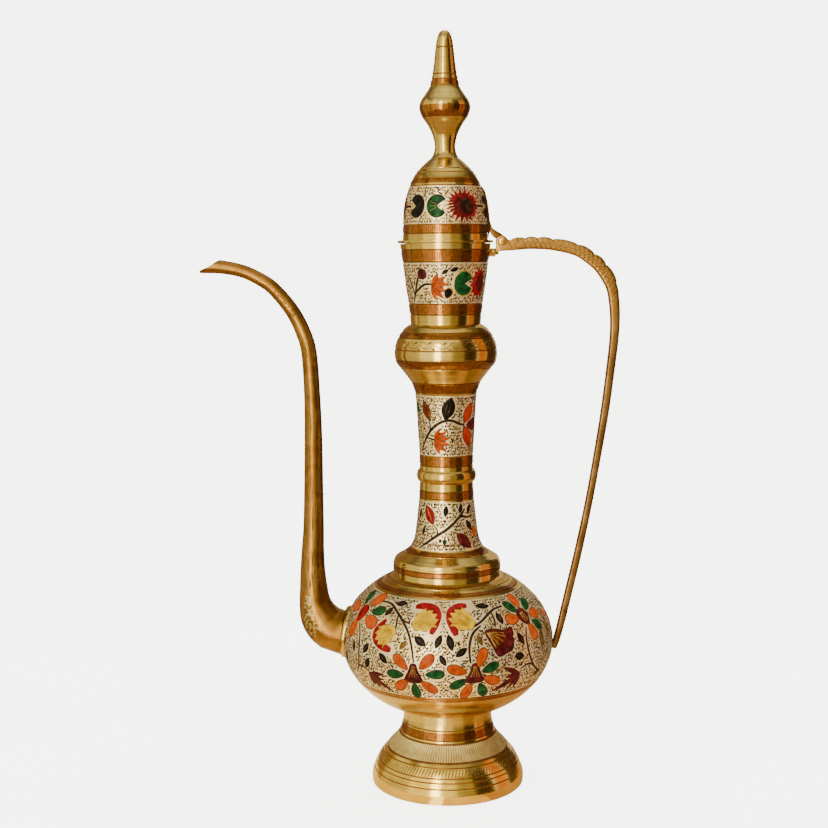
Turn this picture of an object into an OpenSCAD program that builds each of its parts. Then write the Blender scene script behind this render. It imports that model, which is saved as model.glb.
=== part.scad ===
// Surahi: a long-necked ewer in engraved brass with a hinged domed lid.
// Turned shells are stacked on the Z axis, the spout is on -X and the handle on +X.
// All sizes are in millimetres and the foot stands on z = 0.

/* [Foot] */
// Radius of the foot at the floor
foot_r = 36.5; // [33:0.5:40]
// Height of the foot up to the rim under the belly
foot_h = 36.4; // [33:0.2:40]
// Radius of the upper rim of the foot
foot_rim_r = 21.2; // [19.6:0.2:22.8]

/* [Belly] */
// Greatest radius of the belly
belly_r = 50.5; // [47.5:0.1:53.5]
// Half height of the belly above its widest line
belly_up = 36.5; // [34:0.5:39]
// Half height of the belly below its widest line
belly_low = 37; // [34:0.5:40]

/* [Neck] */
// Radius of the collar on the shoulder
collar_r = 25.6; // [24:0.1:27.2]
// Radius of the neck where it is narrowest
neck_r = 12.65; // [11.65:0.05:13.65]
// Height of the neck below its ring
lower_neck_h = 31; // [28:0.2:34]
// Height of the ring on the neck
ring_h = 6.2; // [5:0.2:7.4]
// Height of the neck above its ring
upper_neck_h = 35.6; // [32:0.2:39]

/* [Knop] */
// Greatest radius of the knop
knop_r = 24.2; // [22.6:0.1:25.4]
// Height of the lower half of the knop
knop_low_h = 19.4; // [17:0.2:22]
// Height of the upper half of the knop
knop_up_h = 13.4; // [12:0.2:15]

/* [Cup] */
// Radius of the cup at its foot
cup_foot_r = 16.4; // [15.6:0.1:17.2]
// Radius of the cup at its mouth
cup_r = 21.2; // [20.2:0.1:22.2]
// Height of the cup
cup_h = 37.3; // [34:0.1:40]

/* [Lid] */
// Height of the dome above the flange
dome_h = 38.6; // [35:0.2:42]
// Height of the finial above the dome
finial_h = 57.2; // [50:0.2:64]
// Greatest radius of the bulb on the finial
finial_r = 11.8; // [10.6:0.1:13]
// Depth of the ring that steadies the lid in the mouth
spigot_h = 4.4; // [3:0.2:5.6]

/* [Spout] */
// Rise of the spout tip above the widest line of the belly
spout_rise = 178; // [168:0.4:188]
// Reach of the spout tip beyond the side of the belly
spout_reach = 59.9; // [54:0.1:66]
// Wall of the spout
spout_wall = 1.1; // [0.8:0.1:1.3]
// Radius of the plate where the spout meets the belly
plate_r = 12.4; // [11.8:0.1:13.2]

/* [Handle] */
// Distance of the outermost stretch of the handle from the axis
handle_reach = 79.4; // [74:0.2:85]
// Thickness of the handle bar
handle_t = 5; // [4.6:0.1:6]
// Height of the scallops along the top of the handle
scallop = 0.9; // [0.4:0.1:1.2]

/* [Hinge] */
// Radius of the hinge pin
pin_r = 1; // [0.8:0.05:1.1]
// Thickness of the eye between the cheeks
eye_t = 2; // [1.6:0.1:2.2]
// Running clearance around the hinge pin
run_gap = 0.06; // [0.03:0.01:0.09]

/* [Walls] */
// Wall of the turned shells
wall = 1.4; // [1.2:0.1:1.6]
// Depth of the turned lines
line_d = 0.3; // [0.2:0.05:0.4]

/* [Hidden] */
// Clearance of soldered and riveted seats
seat = 0.02;
// Gap between the closed lid and the mouth
lid_gap = 0.3;
// Clearance beside the moving eye
side_gap = 0.15;
// Half width of a turned line
line_w = 0.35;
// Small bevel of the turned edges
edge = 0.4;
// Height of the lapped seam around the belly
lap_h = 2;
// Points on a quarter of the belly outline
belly_n = 22;
// Sides of the spout
spout_n = 24;

// Height of the collar on the shoulder, and of the upright wall at its foot
collar_h = 13.5;
collar_step = 6.4;
// Width and height of the thick ring that the foot stands on
foot_ring_w = 3.2;
foot_ring_h = 3;
// How far the shoulder runs on under the collar
shoulder_lap = 6;
// How much wider the neck is at its foot and at its top
neck_flare = 4.55;
neck_swell = 1.85;
// Swell of the ring on the neck, and the step it stands on
ring_swell = 1.25;
ring_step = 0.2;

// Thickness of the lid flange, its overhang, and the step in to the dome
flange_t = 1.2;
flange_lip = 1.1;
lid_step = 1.3;
// Clearance of the lid's ring in the mouth
spigot_gap = 1.1;
// Tenon of the finial, how far it runs under the dome, and the washer on it
tenon_r = 2.5;
tenon_end = 2;
washer_r = 4.2;
washer_t = 1.2;

// Heights of the joints between the stacked shells
belly_z = foot_h + belly_low * sqrt(1 - pow(foot_rim_r / belly_r, 2));
collar_z = belly_z + belly_up * sqrt(1 - pow(collar_r / belly_r, 2));
neck_z = collar_z + collar_h;
ring_z = neck_z + lower_neck_h;
upper_z = ring_z + ring_h;
knop_z = upper_z + upper_neck_h;
knop_mid_z = knop_z + knop_low_h;
cup_z = knop_mid_z + knop_up_h;
mouth_z = cup_z + cup_h;
flange_z = mouth_z + lid_gap;
dome_z = flange_z + flange_t;
finial_z = dome_z + dome_h;

// Radii that follow from the sizes above
neck_foot_r = neck_r + neck_flare;
neck_top_r = neck_r + neck_swell;
lid_r = cup_r - lid_step;
flange_r = cup_r + flange_lip;
spigot_r = cup_r - wall - spigot_gap;

// Place of the hinge pin beyond the flange and above its underside
pin_out = 4;
pin_up = 0.5;
pin_x = flange_r + pin_out;
pin_z = flange_z + pin_up;
// Head of the hinge pin, and the metal around its hole in the eye and the cheeks
pin_head_r = 2.1;
pin_head_h = 1.1;
eye_wall = 1.85;
cheek_wall = 1.7;
eye_r = pin_r + eye_wall;
cheek_r = pin_r + cheek_wall;
// Block under the cheeks, and how deep and how far the slot runs past the pin
block_w = 2.8;
block_h = 4.7;
slot_floor = 1.2;
slot_run = 6.3;
slot_t = eye_t + 2 * side_gap;
half_t = handle_t / 2;

// Lug on the cup and the pin that holds the handle's tang in it
lug_drop = 3.8;
lug_z = mouth_z - lug_drop;
lug_off = 1.45;
lug_low = 2.4;
lug_high = 1.5;
lug_end = 1.2;
lug_floor = 0.8;
ear_t = 1.1;
ear_gap = 0.1;
lug_pin_r = 0.8;
lug_head_r = 1.3;
lug_head_h = 1.7;
tang_t = 2;
tang_h = 2.9;

// Leaf of the strap on the dome, and the height of the web between it and the eye
leaf_w = 3.6;
leaf_h = 24.4;
leaf_t = 1.1;
leaf_up = 1.2;
web_h = 12;

// Spout root
root_up = 3.1;
spout_z = belly_z + root_up;
plate_t = 1.6;
root_r = 11;
spout_hole_r = 8;

// Smooth curve through a few points, n steps from each point to the next
function blend(a, b, c, d, t) =
    0.5 * (2 * b + (c - a) * t + (2 * a - 5 * b + 4 * c - d) * t * t + (3 * b - a - 3 * c + d) * t * t * t);
function smooth(p, n) = [
    for (i = [0 : len(p) - 2])
        for (k = [0 : n - 1])
            blend(p[max(i - 1, 0)], p[i], p[i + 1], p[min(i + 2, len(p) - 1)], k / n),
    p[len(p) - 1]
];

function backward(p) = [for (i = [len(p) - 1 : -1 : 0]) p[i]];
function unit(v) = v / norm(v);

// Direction of a line of points at point i
function along(p, i) = unit(p[min(i + 1, len(p) - 1)] - p[max(i - 1, 0)]);

// The same outline t further in, seen from outside
function inset(p, t) = [
    for (i = [0 : len(p) - 1])
        let (d = along(p, i))
            [p[i][0] - t * d[1], p[i][1] + t * d[0]]
];

// The inner side of a wall whose two ends are cut level
function level_end(p, i, t) = [p[i][0] - t / max(0.6, along(p, i)[1]), p[i][1]];
function inner_side(p, t) = [
    for (i = [0 : len(p) - 1])
        (i == 0 || i == len(p) - 1) ? level_end(p, i, t) : inset(p, t)[i]
];

// A shape given as [share of the radius step, share of the height] put in its place
function fitted(s, r0, r1, z0, h) = [for (q = s) [r0 + (r1 - r0) * q[0], z0 + h * q[1]]];

// Radius of an outline at height z
function radius_at(p, z) = lookup(z, [for (q = p) [q[1], q[0]]]);

// An outline that climbs from its first point, with a V-shaped line at each height in zs
function clear_of(z, zs) = min([for (g = zs) abs(z - g)]) > 1.2 * line_w;
function plain_points(p, zs) = [for (q = p) if (clear_of(q[1], zs)) q];
function v_line(p, z) = [
    [radius_at(p, z - line_w), z - line_w],
    [radius_at(p, z) - line_d, z],
    [radius_at(p, z + line_w), z + line_w]
];
function merged(k, p, zs) = [
    for (i = [0 : len(k) - 2])
        for (q = concat([k[i]], [for (z = zs) if (z > k[i][1] && z < k[i + 1][1]) each v_line(p, z)]))
            q,
    k[len(k) - 1]
];
function lined(p, zs) = merged(plain_points(p, zs), p, zs);

// Heights of turned lines given as shares of a height
function heights(shares, z0, h) = [for (s = shares) z0 + s * h];

module turned_shell(outline, zs) {
    rotate_extrude($fn = 120)
        polygon(concat(lined(outline, zs), backward(inner_side(outline, wall))));
}

// Belly outline, t outside the true surface: two half ellipses that share the widest line
function belly_height(r, t = 0) = belly_z + (belly_up + t) * sqrt(1 - pow(r / (belly_r + t), 2));
function belly_depth(r, t = 0) = belly_z - (belly_low + t) * sqrt(1 - pow(r / (belly_r + t), 2));
function upper_arc(t, a1) = [
    for (i = [0 : belly_n])
        let (a = a1 * i / belly_n)
            [(belly_r + t) * cos(a), belly_z + (belly_up + t) * sin(a)]
];
function lower_arc(t) = [
    for (i = [0 : belly_n])
        let (a = -90 + 90 * i / belly_n)
            [(belly_r + t) * cos(a), belly_z + (belly_low + t) * sin(a)]
];
module belly_solid(t) {
    rotate_extrude($fn = 120)
        polygon(concat(lower_arc(t), upper_arc(t, 90)));
}
module spout_hole(r) {
    translate([-1.4 * belly_r, 0, spout_z])
        rotate([0, 90, 0])
            cylinder(r = r, h = 0.8 * belly_r, $fn = 60);
}

// Outlines of the turned shells
foot_shape = [
    [1, 0.025], [1, 0.11], [0.95, 0.18], [0.84, 0.29], [0.69, 0.39], [0.475, 0.495],
    [0.275, 0.585], [0.13, 0.67], [0.045, 0.77], [0.005, 0.87], [0, 0.97]
];
foot_line = smooth(fitted(foot_shape, foot_rim_r, foot_r, 0, foot_h), 3);
collar_shape = [[1, 0], [0.92, 0.24], [0.56, 0.5], [0.2, 0.76], [0, 1]];
collar_mid = collar_z + collar_step;
collar_line = concat(
    [[collar_r, collar_z + edge], [collar_r, collar_mid - edge]],
    smooth(fitted(collar_shape, neck_foot_r, collar_r - edge, collar_mid, neck_z - collar_mid), 4)
);
lower_neck_shape = [
    [1, 0], [0.7, 0.09], [0.53, 0.18], [0.4, 0.31], [0.29, 0.44], [0.18, 0.6], [0.075, 0.78], [0, 1]
];
lower_neck_line = smooth(fitted(lower_neck_shape, neck_r, neck_foot_r, neck_z, lower_neck_h), 3);
upper_neck_shape = [[0, 0], [0.04, 0.16], [0.24, 0.42], [0.6, 0.76], [1, 1]];
upper_neck_line = smooth(fitted(upper_neck_shape, neck_r, neck_top_r, upper_z, upper_neck_h), 4);
knop_low_shape = [[0, 0], [0.155, 0.247], [0.495, 0.49], [0.866, 0.727], [0.97, 0.856], [1, 1]];
knop_low_line = smooth(fitted(knop_low_shape, neck_top_r, knop_r, knop_z, knop_low_h), 4);
knop_up_shape = [[1, 0], [0.92, 0.3], [0.69, 0.612], [0.35, 0.87], [0, 1]];
knop_up_line = smooth(fitted(knop_up_shape, cup_foot_r, knop_r, knop_mid_z, knop_up_h), 4);
cup_shape = [[0, 0], [0.12, 0.164], [0.345, 0.39], [0.65, 0.673], [1, 1]];
cup_line = smooth(fitted(cup_shape, cup_foot_r, cup_r, cup_z, cup_h), 4);
dome_shape = [[1, 0], [0.99, 0.18], [0.95, 0.41], [0.855, 0.617], [0.7, 0.79], [0.45, 0.927], [0.277, 1]];
dome_line = smooth(fitted(dome_shape, 0, lid_r, dome_z, dome_h), 4);
finial_shape = [
    [0.455, 0], [0.41, 0.056], [0.41, 0.1], [0.5, 0.175], [0.69, 0.255], [0.88, 0.311], [1, 0.38],
    [0.95, 0.437], [0.78, 0.493], [0.61, 0.545], [0.525, 0.607], [0.455, 0.685], [0.4, 0.773],
    [0.362, 0.851], [0.325, 0.905], [0.28, 0.945], [0.21, 0.978], [0.11, 0.996], [0, 1]
];
finial_line = smooth(fitted(finial_shape, 0, finial_r, finial_z, finial_h), 3);

module foot() {
    inner = inset(foot_line, wall);
    lines = heights([0.2, 0.27, 0.32, 0.43, 0.475, 0.675, 0.71, 0.83], 0, foot_h);
    color("#c99a45")
        rotate_extrude($fn = 120)
            polygon(concat(
                [[foot_r - foot_ring_w, 0], [foot_r - edge, 0]],
                lined(foot_line, lines),
                [
                    [foot_rim_r, belly_depth(foot_rim_r) - seat],
                    [foot_rim_r - wall, belly_depth(foot_rim_r - wall) - seat]
                ],
                [for (i = [len(inner) - 2 : -1 : 4]) inner[i]],
                [[foot_r - foot_ring_w, foot_ring_h]]
            ));
}

module belly_bowl() {
    rim = belly_r - wall / 2 - seat;
    color("#d6ac58")
        difference() {
            rotate_extrude($fn = 120)
                polygon(concat(
                    lined(lower_arc(0), heights([-0.473, -0.432], belly_z, belly_low)),
                    [[rim, belly_z], [rim, belly_z + lap_h], [belly_r - wall, belly_z + lap_h]],
                    backward(lower_arc(-wall))
                ));
            spout_hole(spout_hole_r);
        }
}

module belly_shoulder() {
    top_a = acos((collar_r - shoulder_lap) / belly_r);
    outer = [for (q = upper_arc(0, top_a)) if (q[1] > belly_z + lap_h) q];
    inner = [for (q = upper_arc(-wall, top_a)) if (q[1] > belly_z + lap_h + edge) q];
    foot_in = belly_r - wall / 2;
    color("#d6ac58")
        difference() {
            rotate_extrude($fn = 120)
                polygon(concat(
                    [[foot_in, belly_z + seat], [belly_r, belly_z + seat]],
                    lined(outer, heights([0.751, 0.811], belly_z, belly_up)),
                    backward(inner),
                    [[belly_r - wall - 5 * seat, belly_z + lap_h + seat], [foot_in, belly_z + lap_h + seat]]
                ));
            spout_hole(spout_hole_r);
        }
}

// Saddle plate around the hole where the spout meets the belly
module spout_plate() {
    color("#c08a3a")
        difference() {
            intersection() {
                belly_solid(plate_t);
                translate([-1.2 * belly_r, 0, spout_z])
                    rotate([0, 90, 0])
                        cylinder(r = plate_r, h = 0.6 * belly_r, $fn = 60);
            }
            belly_solid(seat);
            spout_hole(spout_hole_r);
        }
}

// Distance of the upright stretch of the spout from the belly, and the height of its elbow
spout_bend = 13;
spout_knee = 30;
// Centre line of the spout from the elbow to the tip, as [out, up, share of the root radius].
// Out runs from 0 at the belly to 1 at the upright stretch and 2 at the tip, and
// up from 0 at the widest line of the belly to 1 at the top of the elbow and 2 at the tip.
spout_shape = [
    [0.323, 0.14, 0.964], [0.615, 0.237, 0.918], [0.846, 0.387, 0.836], [0.977, 0.58, 0.7],
    [1.006, 0.8, 0.614], [1.013, 1.025, 0.541], [1.009, 1.091, 0.491], [0.992, 1.168, 0.45],
    [0.969, 1.302, 0.414], [0.954, 1.457, 0.386], [0.977, 1.591, 0.35], [1.019, 1.726, 0.336],
    [1.083, 1.798, 0.323], [1.19, 1.863, 0.309], [1.356, 1.927, 0.291], [1.49, 1.958, 0.282],
    [1.661, 1.984, 0.277], [1.851, 1.997, 0.286], [2, 2, 0.291]
];
function in_two(u, a, b) = u < 1 ? a * u : a + (b - a) * (u - 1);
spout_line = smooth([
    for (q = spout_shape)
        [
            -belly_r - in_two(q[0], spout_bend, spout_reach),
            belly_z + in_two(q[1], spout_knee, spout_rise),
            root_r * q[2]
        ]
], 2);
// How far the slanting cut of the tip runs along the spout, each way
tip_cut = 4.5;
// Rings of the spout over which the cut comes in
tip_n = 2;

function flat(p) = [for (q = p) [q[0], q[1]]];
function saddle_x(y, z, t) =
    let (h = z > belly_z ? belly_up + t : belly_low + t)
        -sqrt(pow(belly_r + t, 2) * (1 - pow((z - belly_z) / h, 2)) - y * y);
function root_ring(r) = [
    for (k = [0 : spout_n - 1])
        let (a = 360 * k / spout_n, y = r * sin(a), z = spout_z + r * cos(a))
            [saddle_x(y, z, plate_t + 3 * seat), y, z]
];
function bend_ring(i, w) =
    let (
        d = along(flat(spout_line), i),
        c = spout_line[i],
        cut = tip_cut * max(0, i + 1 + tip_n - len(spout_line)) / tip_n
    )
        [
            for (k = [0 : spout_n - 1])
                let (a = 360 * k / spout_n, r = c[2] - w, s = -cut * cos(a))
                    [c[0] + r * cos(a) * d[1] + s * d[0], r * sin(a), c[1] - r * cos(a) * d[0] + s * d[1]]
        ];
function tube_points(w) = concat(
    root_ring(root_r - w),
    [for (i = [0 : len(spout_line) - 1]) each bend_ring(i, w)]
);
// Triangles between ring i and the next one, n points a ring, from point o on
function band(i, n, o, flip) = [
    for (k = [0 : n - 1])
        let (a = o + i * n + k, b = o + i * n + (k + 1) % n)
            each flip ? [[a, b, a + n], [b, b + n, a + n]] : [[a, a + n, b], [b, a + n, b + n]]
];
module spout() {
    rings = len(spout_line) + 1;
    inside = rings * spout_n;
    last = (rings - 1) * spout_n;
    root_face = [
        for (k = [0 : spout_n - 1])
            let (a = k, b = (k + 1) % spout_n)
                each [[a, b, inside + a], [b, inside + b, inside + a]]
    ];
    tip_face = [
        for (k = [0 : spout_n - 1])
            let (a = last + k, b = last + (k + 1) % spout_n)
                each [[a, inside + a, b], [b, inside + a, inside + b]]
    ];
    color("#b98036")
        polyhedron(
            points = concat(tube_points(0), tube_points(spout_wall)),
            faces = concat(
                [for (i = [0 : rings - 2]) each band(i, spout_n, 0, false)],
                [for (i = [0 : rings - 2]) each band(i, spout_n, inside, true)],
                root_face,
                tip_face
            ),
            convexity = 8
        );
}

module shoulder_collar() {
    inner = inset(collar_line, wall);
    color("#c99a45")
        rotate_extrude($fn = 120)
            polygon(concat(
                [[collar_r, belly_height(collar_r) + seat]],
                lined(collar_line, heights([0.21, 0.38, 0.82], collar_z, collar_h)),
                [[neck_foot_r - 1.43 * wall, neck_z]],
                [for (i = [len(inner) - 2 : -1 : 2]) inner[i]],
                [[collar_r - wall, belly_height(collar_r - wall) + seat]]
            ));
}

module lower_neck() {
    color("#d6ac58")
        turned_shell(lower_neck_line, heights([0.1, 0.77, 0.88], neck_z, lower_neck_h));
}

// Half-round bead that joins the two lengths of neck
module neck_ring() {
    foot_in = neck_r + ring_step;
    bead = [
        for (a = [-75 : 15 : 75])
            [foot_in + ring_swell * cos(a), ring_z + ring_h / 2 + 0.43 * ring_h * sin(a)]
    ];
    color("#c99a45")
        rotate_extrude($fn = 120)
            polygon(concat(
                [[neck_r - wall, ring_z], [foot_in, ring_z]],
                bead,
                [[foot_in, upper_z], [neck_r - wall, upper_z]]
            ));
}

module upper_neck() {
    color("#d6ac58")
        turned_shell(upper_neck_line, heights([0.06, 0.195], upper_z, upper_neck_h));
}

module knop_bowl() {
    color("#c99a45")
        turned_shell(knop_low_line, heights([0.07, 0.29, 0.645, 0.84], knop_z, knop_low_h));
}

module knop_cap() {
    color("#c99a45")
        turned_shell(knop_up_line, heights([0.14, 0.545, 0.74], knop_mid_z, knop_up_h));
}

module cup() {
    color("#d6ac58")
        turned_shell(cup_line, heights([0.125, 0.26, 0.775, 0.925], cup_z, cup_h));
}

module cup_solid(t) {
    rotate_extrude($fn = 120)
        polygon(concat(inset(cup_line, -t), [[0, mouth_z], [0, cup_z]]));
}

// Where the lower pin of the handle stands, just clear of the cup
lug_x = radius_at(cup_line, lug_z) + lug_off;

module y_cylinder(x, z, r, h) {
    translate([x, 0, z])
        rotate([90, 0, 0])
            cylinder(r = r, h = h, center = true, $fn = 48);
}

// U-shaped lug on the cup with an ear on each side of the handle's tang
module cup_lug() {
    gap_t = tang_t + 2 * ear_gap;
    all_t = gap_t + 2 * ear_t;
    long = 2 * lug_off + lug_end;
    color("#b98036")
        difference() {
            translate([lug_x - 2 * lug_off, -all_t / 2, lug_z - lug_low])
                cube([long, all_t, lug_low + lug_high]);
            translate([lug_x - 3 * lug_off, -gap_t / 2, lug_z - lug_low + lug_floor])
                cube([2 * long, gap_t, lug_low + lug_high]);
            cup_solid(seat);
            y_cylinder(lug_x, lug_z, lug_pin_r + seat, 2 * all_t);
        }
}

// Half width of the handle bar, seen from the side, and how far its top curves down
bar_w = 2.5;
handle_drop = 36.5;
// Steps of the bar from one point of its line to the next
bar_n = 5;
// Centre line of the handle, as [out, up, share of the half width].
// The top runs out from the hinge pin at 0 to the reach at 1, and down to -1 at the end of its curve.
handle_top = [
    [0.013, -0.052, 0.96], [0.088, -0.047, 1], [0.206, -0.033, 1], [0.313, -0.033, 1],
    [0.441, -0.047, 1], [0.651, -0.115, 1.04], [0.782, -0.23, 1.08], [0.874, -0.351, 1.12],
    [0.962, -0.562, 1.08], [0.989, -0.753, 1], [1, -1, 0.92]
];
// The fall runs from the end of that curve at [1, 1] to the side of the belly at [0, 0]
handle_fall = [
    [0.986, 0.935, 0.84], [0.932, 0.843, 0.8], [0.85, 0.719, 0.78], [0.734, 0.582, 0.72],
    [0.59, 0.425, 0.7], [0.42, 0.268, 0.72], [0.273, 0.147, 0.72], [0.147, 0.045, 0.68],
    [0.078, -0.004, 0.64], [0.027, -0.032, 0.6]
];
fall_h = pin_z - handle_drop - belly_z;
handle_line = smooth([
    for (q = handle_top)
        [pin_x + (handle_reach - pin_x) * q[0], pin_z + handle_drop * q[1], bar_w * q[2]],
    for (q = handle_fall)
        [belly_r + (handle_reach - belly_r) * q[0], belly_z + fall_h * q[1], bar_w * q[2]]
], bar_n);
// Scallops rise between the points from the second to the ninth
function lobe(i) = (i > bar_n && i < 8 * bar_n) ? scallop * sqrt(sin(180 * (i % bar_n) / bar_n)) : 0;
// The bar grows thinner towards its lower end
function bar_t(i) = half_t - 0.2 * half_t * i / len(handle_line);
edge_cut = 0.8;
function bar_ring(i) =
    let (
        d = along(flat(handle_line), i),
        c = handle_line[i],
        w = c[2],
        o = w + lobe(i),
        t = bar_t(i),
        s = [
            [-w, t - edge_cut], [-w + edge_cut, t], [o - edge_cut, t], [o, t - edge_cut],
            [o, edge_cut - t], [o - edge_cut, -t], [-w + edge_cut, -t], [-w, edge_cut - t]
        ]
    )
    [for (q = s) [c[0] - q[0] * d[1], q[1], c[1] + q[0] * d[0]]];
module handle_bar() {
    rings = len(handle_line);
    last = (rings - 1) * 8;
    polyhedron(
        points = [for (i = [0 : rings - 1]) each bar_ring(i)],
        faces = concat(
            [for (i = [0 : rings - 2]) each band(i, 8, 0, false)],
            [[for (k = [0 : 7]) k]],
            [[for (k = [7 : -1 : 0]) last + k]]
        ),
        convexity = 6
    );
}
module handle() {
    block_x = pin_x - block_w;
    tang_x = lug_x - lug_end + ear_gap;
    color("#b98036")
        difference() {
            union() {
                handle_bar();
                y_cylinder(pin_x, pin_z, cheek_r, handle_t);
                translate([block_x, -half_t, pin_z - block_h])
                    cube([2 * block_w, handle_t, block_h]);
                translate([tang_x, -tang_t / 2, lug_z - tang_h / 2])
                    cube([block_x + tang_t - tang_x, tang_t, tang_h]);
            }
            y_cylinder(pin_x, pin_z, eye_r + lid_gap, slot_t);
            translate([pin_x - 2 * handle_t, -slot_t / 2, pin_z - eye_r])
                cube([2 * handle_t, slot_t, 2 * handle_t]);
            translate([pin_x, -slot_t / 2, pin_z - slot_floor])
                cube([slot_run, slot_t, 2 * handle_t]);
            y_cylinder(pin_x, pin_z, pin_r + seat, 2 * handle_t);
            y_cylinder(lug_x, lug_z, lug_pin_r + seat, 2 * handle_t);
            belly_solid(seat);
        }
}

// Pin along Y with a rounded head at both ends
module headed_pin(r, len_y, head_r, head_h) {
    dome = [for (a = [-20 : 10 : 80]) [head_r * cos(a), len_y / 2 + 0.34 * head_h + 0.66 * head_h * sin(a)]];
    half = concat([[r, 0], [r, len_y / 2 + seat]], [[head_r * cos(20), len_y / 2 + seat]], dome);
    top = len_y / 2 + head_h;
    under = [for (q = backward(half)) [q[0], -q[1]]];
    rotate([90, 0, 0])
        rotate_extrude($fn = 48)
            polygon(concat([[0, -top]], under, half, [[0, top]]));
}

module handle_pin() {
    color("#d8b060")
        translate([lug_x, 0, lug_z])
            headed_pin(lug_pin_r, tang_t + 2 * (ear_gap + ear_t), lug_head_r, lug_head_h);
}

module hinge_pin() {
    color("#d8b060")
        translate([pin_x, 0, pin_z])
            headed_pin(pin_r, handle_t, pin_head_r, pin_head_h);
}

module lid_flange() {
    color("#c99a45")
        rotate_extrude($fn = 120)
            polygon([
                [spigot_r - wall, flange_z], [flange_r - edge, flange_z], [flange_r, flange_z + edge],
                [flange_r, dome_z - edge], [flange_r - edge, dome_z], [spigot_r - wall, dome_z]
            ]);
}

module lid_spigot() {
    low = flange_z - spigot_h;
    color("#b98036")
        rotate_extrude($fn = 120)
            polygon([
                [spigot_r - wall, low], [spigot_r - edge, low], [spigot_r, low + edge],
                [spigot_r, flange_z], [spigot_r - wall, flange_z]
            ]);
}

module lid_dome() {
    inner = inset(dome_line, wall);
    top_in = finial_z - wall;
    flat_r = washer_r + edge;
    color("#d6ac58")
        rotate_extrude($fn = 120)
            polygon(concat(
                lined(dome_line, heights([0.08, 0.185, 0.645, 0.73, 0.8, 0.85], dome_z, dome_h)),
                [[tenon_r + seat, finial_z], [tenon_r + seat, top_in], [flat_r, top_in]],
                [for (q = backward(inner)) if (q[1] < top_in && q[1] > dome_z && q[0] > flat_r) q],
                [[lid_r - wall, dome_z]]
            ));
}

module dome_solid(t) {
    rotate_extrude($fn = 120)
        polygon(concat(inset(dome_line, -t), [[0, finial_z + t], [0, dome_z]]));
}

// Leaf-shaped strap on the dome, with the web and eye that turn on the hinge pin
module lid_strap() {
    leaf_z = dome_z + leaf_up;
    arc_r = (pow(leaf_h / 2, 2) + leaf_w * leaf_w) / (2 * leaf_w);
    web_shape = [
        [0.055, 1], [0.156, 0.692], [0.312, 0.467], [0.625, 0.35], [0.906, 0.267], [1.141, 0.167],
        [1, -0.1], [0.57, -0.1], [0.484, 0.075], [0.25, 0.208], [0.094, 0.35], [0.031, 0.433]
    ];
    web = fitted(web_shape, lid_r, pin_x, dome_z, web_h);
    color("#c08a3a")
        difference() {
            union() {
                intersection() {
                    dome_solid(leaf_t + seat);
                    translate([lid_r / 2, 0, leaf_z + leaf_h / 2])
                        rotate([90, 0, 90])
                            linear_extrude(height = lid_r)
                                intersection() {
                                    translate([arc_r - leaf_w, 0])
                                        circle(r = arc_r, $fn = 120);
                                    translate([leaf_w - arc_r, 0])
                                        circle(r = arc_r, $fn = 120);
                                }
                }
                translate([0, eye_t / 2, 0])
                    rotate([90, 0, 0])
                        linear_extrude(height = eye_t)
                            polygon(web);
                y_cylinder(pin_x, pin_z, eye_r, eye_t);
            }
            dome_solid(seat);
            y_cylinder(pin_x, pin_z, pin_r + run_gap, 2 * handle_t);
        }
}

module finial() {
    low = finial_z - wall - tenon_end;
    lines = heights([0.56, 0.61, 0.65, 0.86], finial_z, finial_h);
    color("#d8b060")
        rotate_extrude($fn = 120)
            polygon(concat(
                [[0, low], [tenon_r, low], [tenon_r, finial_z + seat], [0.455 * finial_r, finial_z + seat]],
                [for (q = lined(finial_line, lines)) if (q[1] > finial_z + edge) q]
            ));
}

module finial_washer() {
    color("#b98036")
        translate([0, 0, finial_z - wall - washer_t - seat])
            difference() {
                cylinder(r = washer_r, h = washer_t, $fn = 60);
                translate([0, 0, -washer_t])
                    cylinder(r = tenon_r + seat, h = 3 * washer_t, $fn = 60);
            }
}

foot();
belly_bowl();
belly_shoulder();
spout_plate();
spout();
shoulder_collar();
lower_neck();
neck_ring();
upper_neck();
knop_bowl();
knop_cap();
cup();
cup_lug();
handle();
handle_pin();
hinge_pin();
lid_flange();
lid_spigot();
lid_dome();
lid_strap();
finial();
finial_washer();
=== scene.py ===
import math
import random

import bmesh
import bpy
import numpy as np
from mathutils import Matrix, Vector


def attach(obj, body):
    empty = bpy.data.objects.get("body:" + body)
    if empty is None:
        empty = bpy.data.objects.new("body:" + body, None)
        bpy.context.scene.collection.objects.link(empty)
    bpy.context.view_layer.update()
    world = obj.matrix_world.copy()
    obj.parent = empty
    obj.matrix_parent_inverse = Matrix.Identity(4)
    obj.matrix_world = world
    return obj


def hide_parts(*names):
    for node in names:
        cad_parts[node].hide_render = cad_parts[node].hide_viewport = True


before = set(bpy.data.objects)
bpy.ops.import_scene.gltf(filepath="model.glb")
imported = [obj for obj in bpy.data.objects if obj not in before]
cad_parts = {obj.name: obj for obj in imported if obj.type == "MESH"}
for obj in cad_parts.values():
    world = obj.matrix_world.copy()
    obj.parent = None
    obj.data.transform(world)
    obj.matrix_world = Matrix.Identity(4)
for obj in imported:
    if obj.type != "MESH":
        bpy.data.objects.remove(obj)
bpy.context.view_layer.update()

# Sizes in millimetres, the same as those of the solids
FOOT_R, FOOT_H, FOOT_RIM = 36.5, 36.4, 21.2
BELLY_R, BELLY_UP, BELLY_LOW = 50.5, 36.5, 37.0
COLLAR_R, COLLAR_H, COLLAR_STEP = 25.6, 13.5, 6.4
NECK_R, NECK_FOOT_R, NECK_TOP_R = 12.65, 17.2, 14.5
LOWER_NECK_H, RING_H, UPPER_NECK_H = 31.0, 6.2, 35.6
RING_R, RING_BULGE = NECK_R + 0.2, 1.25
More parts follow.
